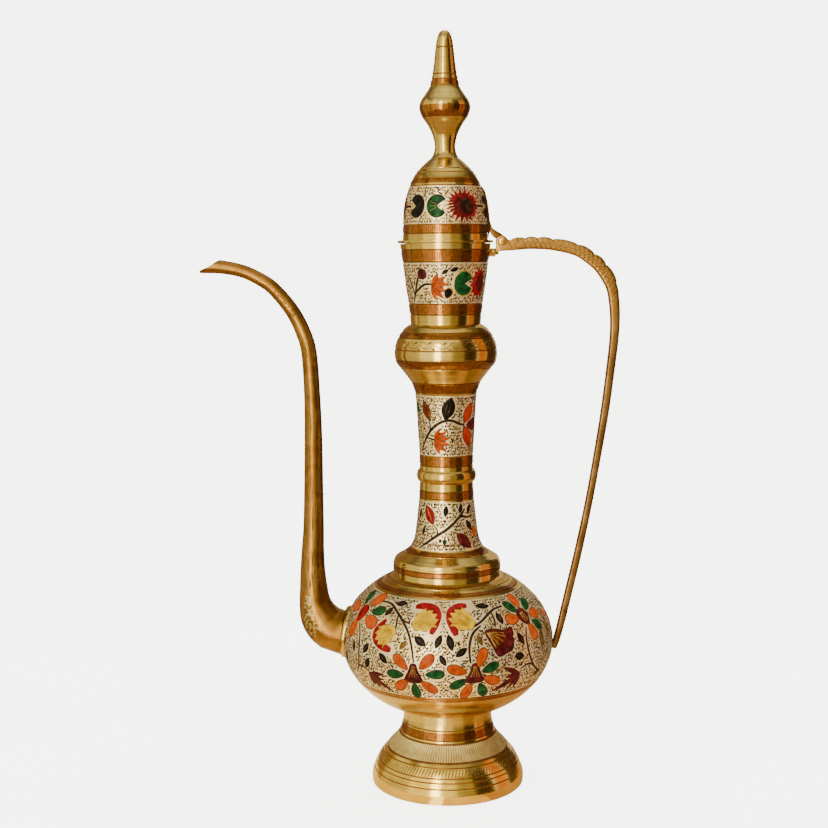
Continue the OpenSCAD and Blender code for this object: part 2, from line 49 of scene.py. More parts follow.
KNOP_R, KNOP_LOW_H, KNOP_UP_H = 24.2, 19.4, 13.4
CUP_FOOT_R, CUP_R, CUP_H = 16.4, 21.2, 37.3
LID_R, LID_GAP, DOME_H = 19.9, 0.3, 38.6
FLANGE_R, FLANGE_T, SPIGOT_R = 22.3, 1.2, 18.7
FINIAL_R, FINIAL_H = 11.8, 57.2
WALL, EDGE = 1.4, 0.4
BELLY_Z = FOOT_H + BELLY_LOW * math.sqrt(1 - (FOOT_RIM / BELLY_R) ** 2)
COLLAR_Z = BELLY_Z + BELLY_UP * math.sqrt(1 - (COLLAR_R / BELLY_R) ** 2)
STEP_Z = COLLAR_Z + COLLAR_STEP
NECK_Z = COLLAR_Z + COLLAR_H
RING_Z = NECK_Z + LOWER_NECK_H
UPPER_Z = RING_Z + RING_H
KNOP_Z = UPPER_Z + UPPER_NECK_H
KNOP_MID = KNOP_Z + KNOP_LOW_H
CUP_Z = KNOP_MID + KNOP_UP_H
MOUTH_Z = CUP_Z + CUP_H
FLANGE_Z = MOUTH_Z + LID_GAP
DOME_Z = FLANGE_Z + FLANGE_T
FINIAL_Z = DOME_Z + DOME_H
PIN_X, PIN_Z = FLANGE_R + 4.0, FLANGE_Z + 0.5
LUG_Z = MOUTH_Z - 3.8
SPOUT_Z = BELLY_Z + 3.1

# Fineness of the meshes, and the size of a turned line
SEG = 224
ROW_STEP, LINE_HALF, LINE_DEPTH = 0.7, 0.32, 0.28
rng = random.Random(7)


# Curves and outlines
def smooth(points, n):
    """A curve through the points, n steps from each to the next."""
    p = np.array(points, float)
    out = []
    for i in range(len(p) - 1):
        a, b, c, d = p[max(i - 1, 0)], p[i], p[i + 1], p[min(i + 2, len(p) - 1)]
        for t in np.arange(n) / n:
            out.append(
                0.5 * (2 * b + (c - a) * t + (2 * a - 5 * b + 4 * c - d) * t * t
                       + (3 * b - a - 3 * c + d) * t ** 3)
            )
    return np.array(out + [p[-1]])


def closed(points, n):
    """A closed smooth curve through the points."""
    p = np.array(points, float)
    return smooth(np.vstack([p[-2:], p, p[:2]]), n)[2 * n:-n - 1][: len(p) * n]


def circle(n):
    """Angles of n points evenly round a circle."""
    return np.linspace(0, 2 * math.pi, n, endpoint=False)


def fitted(shape, r0, r1, z0, h):
    return [(r0 + (r1 - r0) * u, z0 + h * v) for u, v in shape]


def along(line):
    """Unit direction of a line at each of its points."""
    d = np.gradient(np.array(line, float), axis=0)
    return d / np.linalg.norm(d, axis=1)[:, None]


def lengths(line):
    """Length from the start of a line to each of its points."""
    return np.concatenate([[0], np.cumsum(np.hypot(*np.diff(line, axis=0).T))])


def bent(line, i):
    """Place, size and direction of a bent line (x, z, size) at a fraction of a step."""
    step = np.arange(len(line))
    x, z, r = (np.interp(i, step, c) for c in line.T)
    dx, dz = (np.interp(i, step, c) for c in along(line[:, :2]).T)
    return x, z, r, dx, dz


def inset(line, t):
    """The inner side of a wall t thick, with level ends."""
    line = np.array(line, float)
    d = along(line)
    inner = line + t * np.stack([-d[:, 1], d[:, 0]], 1)
    for i in (0, -1):
        inner[i] = (line[i][0] - t / max(0.6, d[i][1]), line[i][1])
    return inner


class Skin:
    """The outer side of a turned shell, measured along its outline."""

    def __init__(self, line):
        self.line = np.array(line, float)
        self.run = lengths(self.line)

    def run_at(self, z):
        return np.interp(z, self.line[:, 1], self.run)

    def point(self, run):
        return np.array([np.interp(run, self.run, c) for c in self.line.T])

    def at(self, run):
        """Radius, height and outward direction at a length along the outline."""
        e = 0.2
        r, z = self.point(run)
        dr, dz = self.point(run + e) - self.point(run - e)
        n = np.hypot(dr, dz) + 1e-9
        return r, z, dz / n, -dr / n

    def place(self, angle, run, lift):
        """Points in space, angles in radians from the front towards the handle."""
        r, z, nr, nz = self.at(np.asarray(run, float))
        r = r + nr * lift
        return np.stack([r * np.sin(angle), -r * np.cos(angle), z + nz * lift], -1)


def arc(r, up, a0, a1, n):
    """A stretch of the belly's outline between two angles in degrees."""
    a = np.radians(np.linspace(a0, a1, n))
    return np.stack([r * np.cos(a), BELLY_Z + up * np.sin(a)], 1)


foot_line = smooth(fitted([
    (1, 0.025), (1, 0.11), (0.95, 0.18), (0.84, 0.29), (0.69, 0.39), (0.475, 0.495),
    (0.275, 0.585), (0.13, 0.67), (0.045, 0.77), (0.005, 0.87), (0, 0.97),
], FOOT_RIM, FOOT_R, 0, FOOT_H), 6)
BELLY_FOOT = -89.9
BELLY_TOP = math.degrees(math.acos((COLLAR_R - 6) / BELLY_R))
bowl_line = arc(BELLY_R, BELLY_LOW, BELLY_FOOT, 0, 60)
shoulder_line = arc(BELLY_R, BELLY_UP, 0, BELLY_TOP, 50)
belly_line = np.vstack([bowl_line[:-1], shoulder_line])
collar_line = np.vstack([
    [(COLLAR_R, COLLAR_Z), (COLLAR_R, STEP_Z - 0.6), (COLLAR_R - 0.1, STEP_Z - 0.3)],
    smooth(fitted([(1, 0), (0.92, 0.24), (0.56, 0.5), (0.2, 0.76), (0, 1)],
                  NECK_FOOT_R, COLLAR_R - EDGE, STEP_Z, COLLAR_H - COLLAR_STEP), 8),
])
lower_neck_line = smooth(fitted([
    (1, 0), (0.7, 0.09), (0.53, 0.18), (0.4, 0.31), (0.29, 0.44), (0.18, 0.6), (0.075, 0.78), (0, 1),
], NECK_R, NECK_FOOT_R, NECK_Z, LOWER_NECK_H), 8)
ring_line = [(RING_R, RING_Z)] + [
    (RING_R + RING_BULGE * math.cos(a), RING_Z + RING_H / 2 + 0.43 * RING_H * math.sin(a))
    for a in np.radians(np.arange(-80, 81, 8))
] + [(RING_R, UPPER_Z)]
upper_neck_line = smooth(fitted([(0, 0), (0.04, 0.16), (0.24, 0.42), (0.6, 0.76), (1, 1)],
                                NECK_R, NECK_TOP_R, UPPER_Z, UPPER_NECK_H), 10)
knop_low_line = smooth(fitted([(0, 0), (0.155, 0.247), (0.495, 0.49), (0.866, 0.727), (0.97, 0.856), (1, 1)],
                              NECK_TOP_R, KNOP_R, KNOP_Z, KNOP_LOW_H), 10)
knop_up_line = smooth(fitted([(1, 0), (0.92, 0.3), (0.69, 0.612), (0.35, 0.87), (0, 1)],
                             CUP_FOOT_R, KNOP_R, KNOP_MID, KNOP_UP_H), 10)
cup_line = smooth(fitted([(0, 0), (0.12, 0.164), (0.345, 0.39), (0.65, 0.673), (1, 1)],
                         CUP_FOOT_R, CUP_R, CUP_Z, CUP_H), 10)
dome_line = smooth(fitted([
    (1, 0), (0.99, 0.18), (0.95, 0.41), (0.855, 0.617), (0.7, 0.79), (0.45, 0.927), (0.277, 1),
], 0, LID_R, DOME_Z, DOME_H), 10)
finial_line = smooth(fitted([
    (0.455, 0), (0.41, 0.056), (0.41, 0.1), (0.5, 0.175), (0.69, 0.255), (0.88, 0.311), (1, 0.38),
    (0.95, 0.437), (0.78, 0.493), (0.61, 0.545), (0.525, 0.607), (0.455, 0.685), (0.4, 0.773),
    (0.362, 0.851), (0.325, 0.905), (0.28, 0.945), (0.21, 0.978), (0.11, 0.996), (0, 1),
], 0, FINIAL_R, FINIAL_Z, FINIAL_H), 6)


# Materials
def linear(hexa):
    """Colour for a shader from a six-digit screen colour."""
    c = [int(hexa[i:i + 2], 16) / 255 for i in (0, 2, 4)]
    return [x / 12.92 if x <= 0.04045 else ((x + 0.055) / 1.055) ** 2.4 for x in c] + [1]


class Paint:
    """A node material with the few nodes that the finishes here share, scaled to millimetres."""

    def __init__(self, name, metallic=0.0):
        self.mat = bpy.data.materials.new(name)
        self.mat.use_nodes = True
        self.tree = self.mat.node_tree
        self.shader = self.tree.nodes["Principled BSDF"]
        self.fill(self.shader, {"Metallic": metallic})
        coords = self.node("ShaderNodeTexCoord", {}).outputs["Object"]
        scaled = self.node("ShaderNodeVectorMath", {0: coords, "Scale": 1000}, operation="SCALE")
        self.mm = scaled.outputs["Vector"]

    def fill(self, node, inputs):
        """Links inputs of a node to outputs, or sets them to plain values."""
        for key, value in inputs.items():
            if isinstance(value, bpy.types.NodeSocket):
                self.tree.links.new(value, node.inputs[key])
            else:
                node.inputs[key].default_value = value

    def node(self, kind, inputs, **settings):
        n = self.tree.nodes.new(kind)
        for key, value in settings.items():
            setattr(n, key, value)
        self.fill(n, inputs)
        return n

    def stretched(self, x, y, z):
        return self.node("ShaderNodeMapping", {"Scale": (x, y, z), "Vector": self.mm}).outputs["Vector"]

    def noise(self, scale, detail, vector=None, distortion=0.0):
        inputs = {"Scale": scale, "Detail": detail, "Distortion": distortion, "Vector": vector or self.mm}
        return self.node("ShaderNodeTexNoise", inputs).outputs["Fac"]

    def cells(self, scale, feature="F1"):
        inputs = {"Scale": scale, "Vector": self.mm}
        return self.node("ShaderNodeTexVoronoi", inputs, feature=feature).outputs["Distance"]

    def waves(self, scale, distortion=0.0):
        inputs = {"Scale": scale, "Distortion": distortion, "Vector": self.mm}
        return self.node("ShaderNodeTexWave", inputs, bands_direction="Z").outputs["Fac"]

    def ramp(self, fac, *stops):
        """Colours, or plain numbers, at places from 0 to 1."""
        n = self.node("ShaderNodeValToRGB", {"Fac": fac})
        while len(n.color_ramp.elements) < len(stops):
            n.color_ramp.elements.new(0.5)
        for e, (place, value) in zip(n.color_ramp.elements, stops):
            e.position = place
            e.color = linear(value) if isinstance(value, str) else (value, value, value, 1)
        return n.outputs["Color"]

    def mix(self, fac, base, colour):
        return self.node("ShaderNodeMix", {0: fac, 6: base, 7: linear(colour)}, data_type="RGBA").outputs[2]

    def add(self, a, b, k):
        return self.node("ShaderNodeMath", {0: b, 1: k, 2: a}, operation="MULTIPLY_ADD").outputs[0]

    def times(self, a, b):
        return self.node("ShaderNodeMath", {0: a, 1: b}, operation="MULTIPLY").outputs[0]

    def height_mask(self, z0, z1):
        """0 below z0 and 1 above z1."""
        z = self.node("ShaderNodeSeparateXYZ", {0: self.mm}).outputs["Z"]
        return self.node("ShaderNodeMapRange", {"Value": z, "From Min": z0, "From Max": z1}).outputs["Result"]

    def finish(self, colour, rough, height=None, depth=0.0):
        """Sets colour and roughness, and a bump of so many millimetres."""
        self.fill(self.shader, {"Base Color": colour, "Roughness": rough})
        if height is not None:
            bump = self.node("ShaderNodeBump", {"Strength": 1, "Distance": depth / 1000, "Height": height})
            self.fill(self.shader, {"Normal": bump.outputs["Normal"]})
        return self.mat


def polished_brass(name, low, mid, high):
    p = Paint(name, 1)
    fine = p.noise(0.9, 8)
    streak = p.noise(1.0, 4, p.stretched(0.05, 0.05, 1.6))
    base = p.ramp(p.noise(0.05, 3), (0.3, low), (0.5, mid), (0.72, high))
    base = p.mix(p.ramp(streak, (0.46, 0.0), (0.72, 0.4)), base, "94682A")
    base = p.mix(p.ramp(fine, (0.62, 0.0), (0.82, 0.12)), base, "6E4218")
    rough = p.ramp(p.add(fine, streak, 0.5), (0.5, 0.12), (1.0, 0.22))
    return p.finish(base, rough, p.add(p.waves(0.62), p.noise(2.2, 5), 0.25), 0.006)


def engraved_ground():
    p = Paint("pale_engraved_ground", 0.78)
    grain = p.noise(2.6, 6)
    base = p.ramp(p.noise(0.16, 5), (0.3, "DCBE84"), (0.5, "EED49E"), (0.72, "F8E6B8"))
    base = p.mix(p.ramp(grain, (0.5, 0.0), (0.75, 0.45)), base, "93703A")
    rough = p.ramp(grain, (0.3, 0.3), (0.7, 0.48))
    return p.finish(base, rough, p.add(p.cells(1.3), grain, 0.6), 0.06)


def lacquer():
    p = Paint("copper_brown_band", 0.95)
    n = p.noise(0.7, 6)
    rows = p.waves(0.75, 0.3)
    base = p.ramp(n, (0.32, "82521E"), (0.55, "986A2A"), (0.75, "AE803C"))
    base = p.mix(p.ramp(rows, (0.55, 0.0), (0.85, 0.55)), base, "7E3C16")
    return p.finish(base, p.ramp(n, (0.3, 0.1), (0.7, 0.2)), p.add(n, rows, 0.5), 0.008)


def stained(name, metallic, scale, stops, rough, depth):
    """A mottled colour for fine marks and lines; rough holds the least and the most roughness."""
    p = Paint(name, metallic)
    n = p.noise(scale, 5)
    return p.finish(p.ramp(n, *stops), p.ramp(n, (0.3, rough[0]), (0.7, rough[1])), n, depth)


def pale_flute():
    p = Paint("pale_fluted_band", 0.85)
    fine = p.noise(2.0, 5)
    base = p.ramp(p.noise(0.25, 5), (0.3, "C4AE68"), (0.55, "D8C27A"), (0.75, "E6D28E"))
    return p.finish(base, p.ramp(fine, (0.3, 0.28), (0.7, 0.42)), fine, 0.02)


def cast_brass(name, low, mid, high, chased, painted_top_light=None):
    """Satin brass; chased is the depth of the tool marks. The last colour, if given, is painted light: a
    paler tone over the top of the handle, mixed in from 205 to 256 mm up.
    """
    p = Paint(name, 1)
    broad = p.noise(0.09, 5, distortion=0.6)
    grain = p.noise(0.45, 3)
    pits = p.cells(0.75, "SMOOTH_F1")
    base = p.ramp(broad, (0.32, low), (0.5, mid), (0.68, high))
    base = p.mix(p.ramp(grain, (0.56, 0.0), (0.74, 0.6)), base, low)
    worn = p.ramp(p.noise(0.055, 2), (0.5, 0.0), (0.6, 1.0))
    spots = p.times(worn, p.ramp(pits, (0.25, 1.0), (0.55, 0.0)))
    base = p.mix(p.times(spots, p.ramp(grain, (0.3, 0.1), (0.7, 0.4))), base, high)
    # Painted light: the handle grows paler towards its top, as if lit from above.
    if painted_top_light:
        base = p.mix(p.ramp(p.height_mask(205, 256), (0.0, 0.0), (1.0, 0.55)), base, painted_top_light)
    rough = p.ramp(grain, (0.35, 0.3), (0.7, 0.4))
    return p.finish(base, rough, p.add(grain, p.times(worn, pits), chased), 0.03)


def enamel(name, dark, mid, light, metallic=0.0):
    p = Paint(name, metallic)
    p.fill(p.shader, {"Specular IOR Level": 0.07})
    n = p.noise(0.45, 4)
    grain = p.noise(3.0, 5)
    base = p.ramp(n, (0.3, dark), (0.5, mid), (0.72, light))
    base = p.mix(p.ramp(grain, (0.58, 0.0), (0.78, 0.4)), base, dark)
    return p.finish(base, p.ramp(grain, (0.35, 0.22), (0.7, 0.4)), p.add(n, grain, 0.4), 0.03)


def floor_paint():
    p = Paint("pale_floor")
    n = p.noise(0.01, 4)
    p.fill(p.shader, {"Emission Color": (1, 0.99, 0.97, 1), "Emission Strength": 4.5})
    return p.finish(p.ramp(n, (0.3, "F1EFEC"), (0.7, "F7F5F2")), p.ramp(n, (0.3, 0.7), (0.7, 0.8)))


def card_paint(name, low, high, power):
    p = Paint(name)
    n = p.noise(0.004, 3)
    colour = p.ramp(n, (0.3, low), (0.7, high))
    p.fill(p.shader, {"Emission Color": colour, "Emission Strength": power})
    return p.finish(colour, p.ramp(n, (0.3, 0.8), (0.7, 0.9)))


TICK_STOPS = (0.3, "5E200A"), (0.5, "7E3A16"), (0.75, "965022")
LINE_STOPS = (0.3, "54300F"), (0.7, "845424")
MATS = {
    "brass": polished_brass("polished_brass", "BE9C4A", "CCAD59", "D8BC6A"),
    # A brighter copy of the polished brass, for the foot: painted reflection of the pale floor.
    "bright": polished_brass("foot_brass_painted_floor_reflection", "D6AE4C", "E4C05A", "EECE6C"),
    "ground": engraved_ground(),
    "lacquer": lacquer(),
    "line": stained("dark_turned_line", 0.7, 1.2, LINE_STOPS, (0.4, 0.6), 0.02),
    "tick": stained("red_brown_tick", 0.8, 1.4, TICK_STOPS, (0.14, 0.26), 0.012),
    "flute": pale_flute(),
    "spout": cast_brass("satin_spout_brass", "6E481A", "8C6228", "9E7436", 0.5),
    # The handle's last colour is painted light, paler over its top.
    "cast": cast_brass("handle_brass_and_painted_top_light", "5E3E20", "7C5830", "926E46", 0.3, "BC8A40"),
    # The strap's brass is a darker copy of the cast brass: painted shade and dark reflection on its thin
    # side.
    "strap": cast_brass("strap_brass_in_painted_shade", "4E3416", "6A4A20", "84602E", 0.3),
    "gold": enamel("bright_cut_gold", "B07C2C", "D8AC54", "EBCB80", 0.8),
    "orange": enamel("orange_enamel", "8A2E00", "AA4000", "BC4C00"),
    "vermilion": enamel("vermilion_enamel", "7A1400", "942000", "A42E02"),
    "red": enamel("red_enamel", "500405", "7C0909", "901618"),
    "yellow": enamel("yellow_enamel", "A47800", "C49604", "D8AC0E"),
    "green": enamel("green_enamel", "06200A", "0E3A14", "1C5422"),
    "maroon": enamel("maroon_enamel", "260606", "460C0C", "5E1A14"),
    "brown": enamel("brown_enamel", "3A1404", "5E280A", "7E4218", 0.3),
    "black": enamel("black_enamel", "080604", "120C07", "221A10"),
    "stem": enamel("dark_stem", "120804", "26140A", "40280F"),
    "chase": enamel("chased_mark", "4A3414", "644820", "80602C", 0.7),
    "pale": enamel("pale_chased_brass", "9C8040", "B4985A", "C8B072", 0.7),
    "cut": enamel("dark_engraved_stroke", "1C1406", "33260E", "54421C", 0.3),
    "cut_brown": enamel("brown_engraved_stroke", "4A3210", "6E4E1E", "8E6A30", 0.4),
}
ENGRAVED = ("tick", "flute", "gold", "cut", "cut_brown")


# Meshes
def make(name, verts, faces, mats, body, node=None, index=None, sharp=38):
    """A smooth-shaded piece, from millimetres, that rides on a body and may stand for a node."""
    mesh = bpy.data.meshes.new(name)
    mesh.from_pydata(np.asarray(verts, float) * 0.001, [], faces)
    for m in mats:
        mesh.materials.append(MATS[m])
    if index is not None:
        mesh.polygons.foreach_set("material_index", np.asarray(index, np.int32))
    mesh.polygons.foreach_set("use_smooth", np.ones(len(mesh.polygons), bool))
    bm = bmesh.new()
    bm.from_mesh(mesh)
    bmesh.ops.remove_doubles(bm, verts=bm.verts, dist=1e-7)
    bmesh.ops.recalc_face_normals(bm, faces=bm.faces)
    bm.to_mesh(mesh)
    bm.free()
    mesh.set_sharp_from_angle(angle=math.radians(sharp))
    piece = bpy.data.objects.new(name, mesh)
    bpy.context.scene.collection.objects.link(piece)
    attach(piece, body)
    if node:
        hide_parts(node)


def grid_faces(rows, cols, start=0, wrap=False, loop=False):
    """Quads of a grid of points; wrap closes it across its columns, loop from its last row to its first."""
    faces = []
    for i in range(rows if loop else rows - 1):
        a, b = start + i * cols, start + (i + 1) % rows * cols
        for j in range(cols if wrap else cols - 1):
            k = (j + 1) % cols
            faces.append((a + j, a + k, b + k, b + j))
    return faces


def marks(z0, h, *shares):
    """Heights at some shares of a stretch."""
    return [z0 + s * h for s in shares]


def turned(node, body, outer, lines=(), bands=(), inner=None):
    """A turned shell with rounded lines at some heights and a finish for each band (from, to, finish)."""
    skin = Skin(outer)
    cuts = [skin.run_at(z) for z in lines]
    runs = list(skin.run)
    for q0, q1 in zip(skin.run, skin.run[1:]):
        runs += list(np.linspace(q0, q1, int((q1 - q0) / ROW_STEP) + 1, endpoint=False)[1:])
    runs += [skin.run_at(z) for b in bands for z in b[:2]]
    runs = [q for q in runs if all(abs(q - c) > 1.25 * LINE_HALF for c in cuts)]
    deep = {}
    for c in cuts:
        for share, d in ((-1, 0), (-0.45, LINE_DEPTH), (0.45, LINE_DEPTH), (1, 0)):
            deep[c + share * LINE_HALF] = d
    runs = sorted(set(runs) | set(deep))
    rows, kinds = [], []
    for i, q in enumerate(runs):
        r, z, nr, nz = skin.at(q)
        d = deep.get(q, 0)
        rows.append((r - nr * d, z - nz * d))
        if i:
            mid = 0.5 * (q + runs[i - 1])
            z_mid = skin.at(mid)[1]
            kind = next((k for a, b, k in bands if a < z_mid < b), "brass")
            kinds.append("line" if any(abs(mid - c) < 0.5 * LINE_HALF for c in cuts) else kind)
    if inner is None:
        inner = inset(outer, WALL)[::-1]
    rows += [tuple(q) for q in inner]
    kinds += ["brass"] * (len(inner) + 1)
    mats = sorted(set(kinds))
    angle = circle(SEG)
    p = np.array(rows)
    r, z = np.maximum(p[:, :1], 0), p[:, 1:]
    verts = np.stack([r * np.sin(angle), -r * np.cos(angle), z + 0 * angle], -1).reshape(-1, 3)
    faces = grid_faces(len(rows), SEG, wrap=True, loop=True)
    index = np.repeat([mats.index(k) for k in kinds], SEG)
    make(node + "_turned", verts, faces, mats, body, node, index)


class Patch:
    """Points and faces gathered for one piece."""

    def __init__(self):
        self.verts, self.faces = [], []

    def grid(self, points, wrap=False):
        rows, cols = points.shape[:2]
        self.faces += grid_faces(rows, cols, len(self.verts), wrap)
        self.verts += list(points.reshape(-1, 3))

    def plate(self, outline, y0, y1, bevel):
        """A flat plate across Y with its long edges eased."""
        bm = bmesh.new()
        face = bm.faces.new([bm.verts.new((x, y0, z)) for x, z in outline])
        made = bmesh.ops.extrude_face_region(bm, geom=[face])
        moved = [v for v in made["geom"] if isinstance(v, bmesh.types.BMVert)]
        bmesh.ops.translate(bm, verts=moved, vec=(0, y1 - y0, 0))
        bmesh.ops.recalc_face_normals(bm, faces=bm.faces)
        rim = [e for e in bm.edges if abs(e.verts[0].co.y - e.verts[1].co.y) < 1e-6]
        bmesh.ops.bevel(bm, geom=rim, offset=bevel, segments=2, profile=0.5, affect="EDGES")
        bm.verts.index_update()
        self.faces += [[len(self.verts) + v.index for v in f.verts] for f in bm.faces]
        self.verts += [tuple(v.co) for v in bm.verts]
        bm.free()

    def piece(self, name, mat, body, slot, node=None, sharp=60):
        make(name, self.verts, self.faces, [mat], body, node, sharp=sharp)


class Painter:
    """Puts enamel, strokes and ticks on a turned skin; places are (degrees from the front, height)."""

    def __init__(self, name, line, body):
        self.name, self.skin, self.body = name, Skin(line), body
        self.layers, self.taken, self.paths = {}, [], []
        self.turn = 0

    def layer(self, colour):
        return self.layers.setdefault(colour, Patch())

    def radius(self, z):
        return self.skin.at(self.skin.run_at(z))[0]

    def spread(self, angle, z, points, turn=0):
        """Points in millimetres (right, up) about a place, turned clockwise, as angles and lengths."""
        t = math.radians(turn)
        u = points[:, 0] * math.cos(t) + points[:, 1] * math.sin(t)
        v = points[:, 1] * math.cos(t) - points[:, 0] * math.sin(t)
        run = self.skin.run_at(z) + v
        return math.radians(angle + self.turn) + u / self.skin.at(run)[0], run

    def blob(self, colour, angle, z, outline, turn=0, lift=0.13, rim=0.34, core=(0, 0), rim_colour="stem"):
        """A low domed patch of enamel inside an outline, with an edge around it; the dark edge is an engraved
        outline with painted shade along the motif's border.
        """
        outline, core = np.array(outline, float), np.array(core, float)
        away = outline - core
        away /= np.linalg.norm(away, axis=1)[:, None]
        rings = []
        for share, up in ((1, -0.02), (0.95, 0.7), (0.75, 0.95), (0.4, 1), (0, 1)):
            a, run = self.spread(angle, z, core + (outline - core) * share, turn)
            rings.append(self.skin.place(a, run, lift * up))
        self.layer(colour).grid(np.array(rings), wrap=True)
        if rim:
            edge = []
            for grow, up in ((rim, -0.02), (rim * 0.8, 0.05), (-0.2, 0.05)):
                a, run = self.spread(angle, z, outline + away * grow, turn)
                edge.append(self.skin.place(a, run, up))
            self.layer(rim_colour).grid(np.array(edge), wrap=True)
            self.taken.append(self.spread(angle, z, outline + away * (rim + 0.45), turn))

    def leaves(self, colour, *rows):
        """Plain leaves, each given by angle, height, turn, length and width."""
        for angle, z, turn, length, width in rows:
            self.blob(colour, angle, z, leaf(length, width), turn)

    def ribbon(self, colour, a, run, width, lift, taper, keep):
        """A rounded strip along angles and lengths on the skin; keep holds tool marks off it."""
        r = self.skin.at(run)[0]
        d = along(np.stack([a * r, run], 1))
        t = np.linspace(0, 1, len(a))
        w = width * (taper + (1 - taper) * np.sin(np.pi * np.clip(t, 0.02, 0.98)) ** 0.4) / 2
        rows = [
            self.skin.place(a - k * w * d[:, 1] / r, run + k * w * d[:, 0], up)
            for k, up in ((-1, -0.02), (-0.6, 0.8 * lift), (0, lift), (0.6, 0.8 * lift), (1, -0.02))
        ]
        self.layer(colour).grid(np.array(rows))
        if keep:
            self.paths.append((a, run, width / 2 + 0.4))

    def stem(self, places, width=0.85, colour="stem", lift=0.1, taper=0.45):
        p = smooth(places, 6)
        width *= 1.6 if colour == "stem" else 1
        a, run = np.radians(p[:, 0] + self.turn), self.skin.run_at(p[:, 1])
        self.ribbon(colour, a, run, width, lift, taper, keep=True)

    def stems(self, width, *paths):
        for places in paths:
            self.stem(places, width)

    def scratch(self, colour, angle, z, points, width, turn=0, lift=0.2, taper=0.3):
        """A thin line drawn over an enamel patch, in millimetres about a place."""
        a, run = self.spread(angle, z, smooth(points, 5), turn)
        self.ribbon(colour, a, run, width, lift, taper, keep=False)

    def petal(self, colour, centre, place, length, width):
        """A petal at a place, pointing away from the flower's centre, with a darker line down its middle as
        painted shade.
        """
        u = math.radians(place[0] - centre[0]) * self.radius(place[1])
        v = self.skin.run_at(place[1]) - self.skin.run_at(centre[1])
        turn = math.degrees(math.atan2(u, v))
        self.blob(colour, *place, petal(length, width), turn)
        # The darker centre line is painted shade along the petal's middle.
        vein = [(0, -0.36 * length), (0.05 * width, 0), (0, 0.3 * length)]
        self.scratch("black" if colour == "green" else "vermilion", *place, vein, 0.3, turn, 0.16)

    def ticks(self, z0, z1, n, slant, width, colour="tick"):
        """A row of short raised marks all the way round."""
        run = np.linspace(self.skin.run_at(z0), self.skin.run_at(z1), 4)
        r = self.skin.at(run)[0]
        for i in range(n):
            mid = 2 * math.pi * i / n + slant * np.linspace(-0.5, 0.5, 4) / r
            rows = [
                self.skin.place(mid + k * width / 2 / r, run, up)
                for k, up in ((-1, -0.02), (0, 0.06), (1, -0.02))
            ]
            self.layer(colour).grid(np.array(rows))

    def free(self, a, run):
        """Which places are clear of every motif."""
        ok = np.ones(len(a), bool)
        r = self.skin.at(run)[0]
        for pa, prun in self.taken:
            mid = pa.mean()
            da = ((a - mid + math.pi) % (2 * math.pi) - math.pi)[:, None] + (mid - pa)[None, :]
            x, y = da * r[:, None], run[:, None] - prun[None, :]
            x2, y2 = np.roll(x, -1, 1), np.roll(y, -1, 1)
            cross = ((y > 0) != (y2 > 0)) & ((x - y * (x2 - x) / (y2 - y + 1e-12)) > 0)
            ok &= cross.sum(1) % 2 == 0
        for pa, prun, reach in self.paths:
            da = (a[:, None] - pa[None, :] + math.pi) % (2 * math.pi) - math.pi
            ok &= np.hypot(da * r[:, None], run[:, None] - prun[None, :]).min(1) > reach
        return ok

    def strokes(self, z0, z1, dark=0.66, pitch=1.26):
        """Comma-shaped tool marks that fill the ground between the motifs; dark is the share of dark ones."""
        low, high = self.skin.run_at(z0) + 0.9, self.skin.run_at(z1) - 0.9
        a, run = [], []
        for i, q in enumerate(np.linspace(low, high, int((high - low) / (1.12 * pitch)) + 1)):
            n = int(2 * math.pi * self.skin.at(q)[0] / pitch)
            for k in range(n):
                a.append((k + 0.5 * (i % 2) + rng.uniform(-0.3, 0.3)) * 2 * math.pi / n)
                run.append(min(max(q + rng.uniform(-0.3, 0.3) * pitch, low), high))
        a, run = np.array(a), np.array(run)
        clear = self.free(a, run)
        t = np.linspace(0, 1, 5)
        for q, s in zip(a[clear], run[clear]):
            turn = math.radians(rng.choice((38, -38, 70, 8)) + rng.uniform(-22, 22))
            length, width, bend = rng.uniform(1.35, 2.1), rng.uniform(0.62, 0.98), rng.uniform(-0.5, 0.5)
            y = length * (t - 0.5)
            w = width * np.array([0.35, 1, 0.9, 0.55, 0.12]) / 2
            r = self.skin.at(s)[0]
            rows = []
            for k in (-1, 1):
                x = bend * (2 * t - 1) ** 2 + k * w
                rows.append(self.skin.place(
                    q + (x * math.cos(turn) + y * math.sin(turn)) / r,
                    s + y * math.cos(turn) - x * math.sin(turn), 0.02,
                ))
            pick = rng.random()
            kind = "cut" if pick < dark else "cut_brown" if pick < 0.94 else "gold"
            self.layer(kind).grid(np.array(rows))

    def panels(self, panel, *turns):
        """Draws a panel of motifs at each of some turns about the axis."""
        for self.turn in turns:
            panel(self)
        self.turn = 0

    def finish(self, *tick_rows):
        """Adds rows of ticks and makes one piece for each colour."""
        for row in tick_rows:
            self.ticks(*row)
        for colour, patch in self.layers.items():
            slot = "engraved_brass" if colour in ENGRAVED else "enamel"
            patch.piece(self.name + "_" + colour, colour, self.body, slot)


# Outlines of the motifs, in millimetres about their middle, pointing up
def petal(length, width, n=22):
    t = circle(n)
    s = np.sin(t)
    side = width / 2 * np.sign(s) * np.abs(s) ** 1.1 * (0.86 + 0.24 * np.cos(t))
    return np.stack([side, length / 2 * np.cos(t)], 1)


def leaf(length, width, bend=0.0, n=10):
    t = np.linspace(-1, 1, n)
    side, mid = width / 2 * (1 - t * t), bend * (1 - t * t)
    right = np.stack([mid + side, t * length / 2], 1)
    left = np.stack([mid - side, t * length / 2], 1)
    return np.vstack([right, left[::-1][1:-1]])


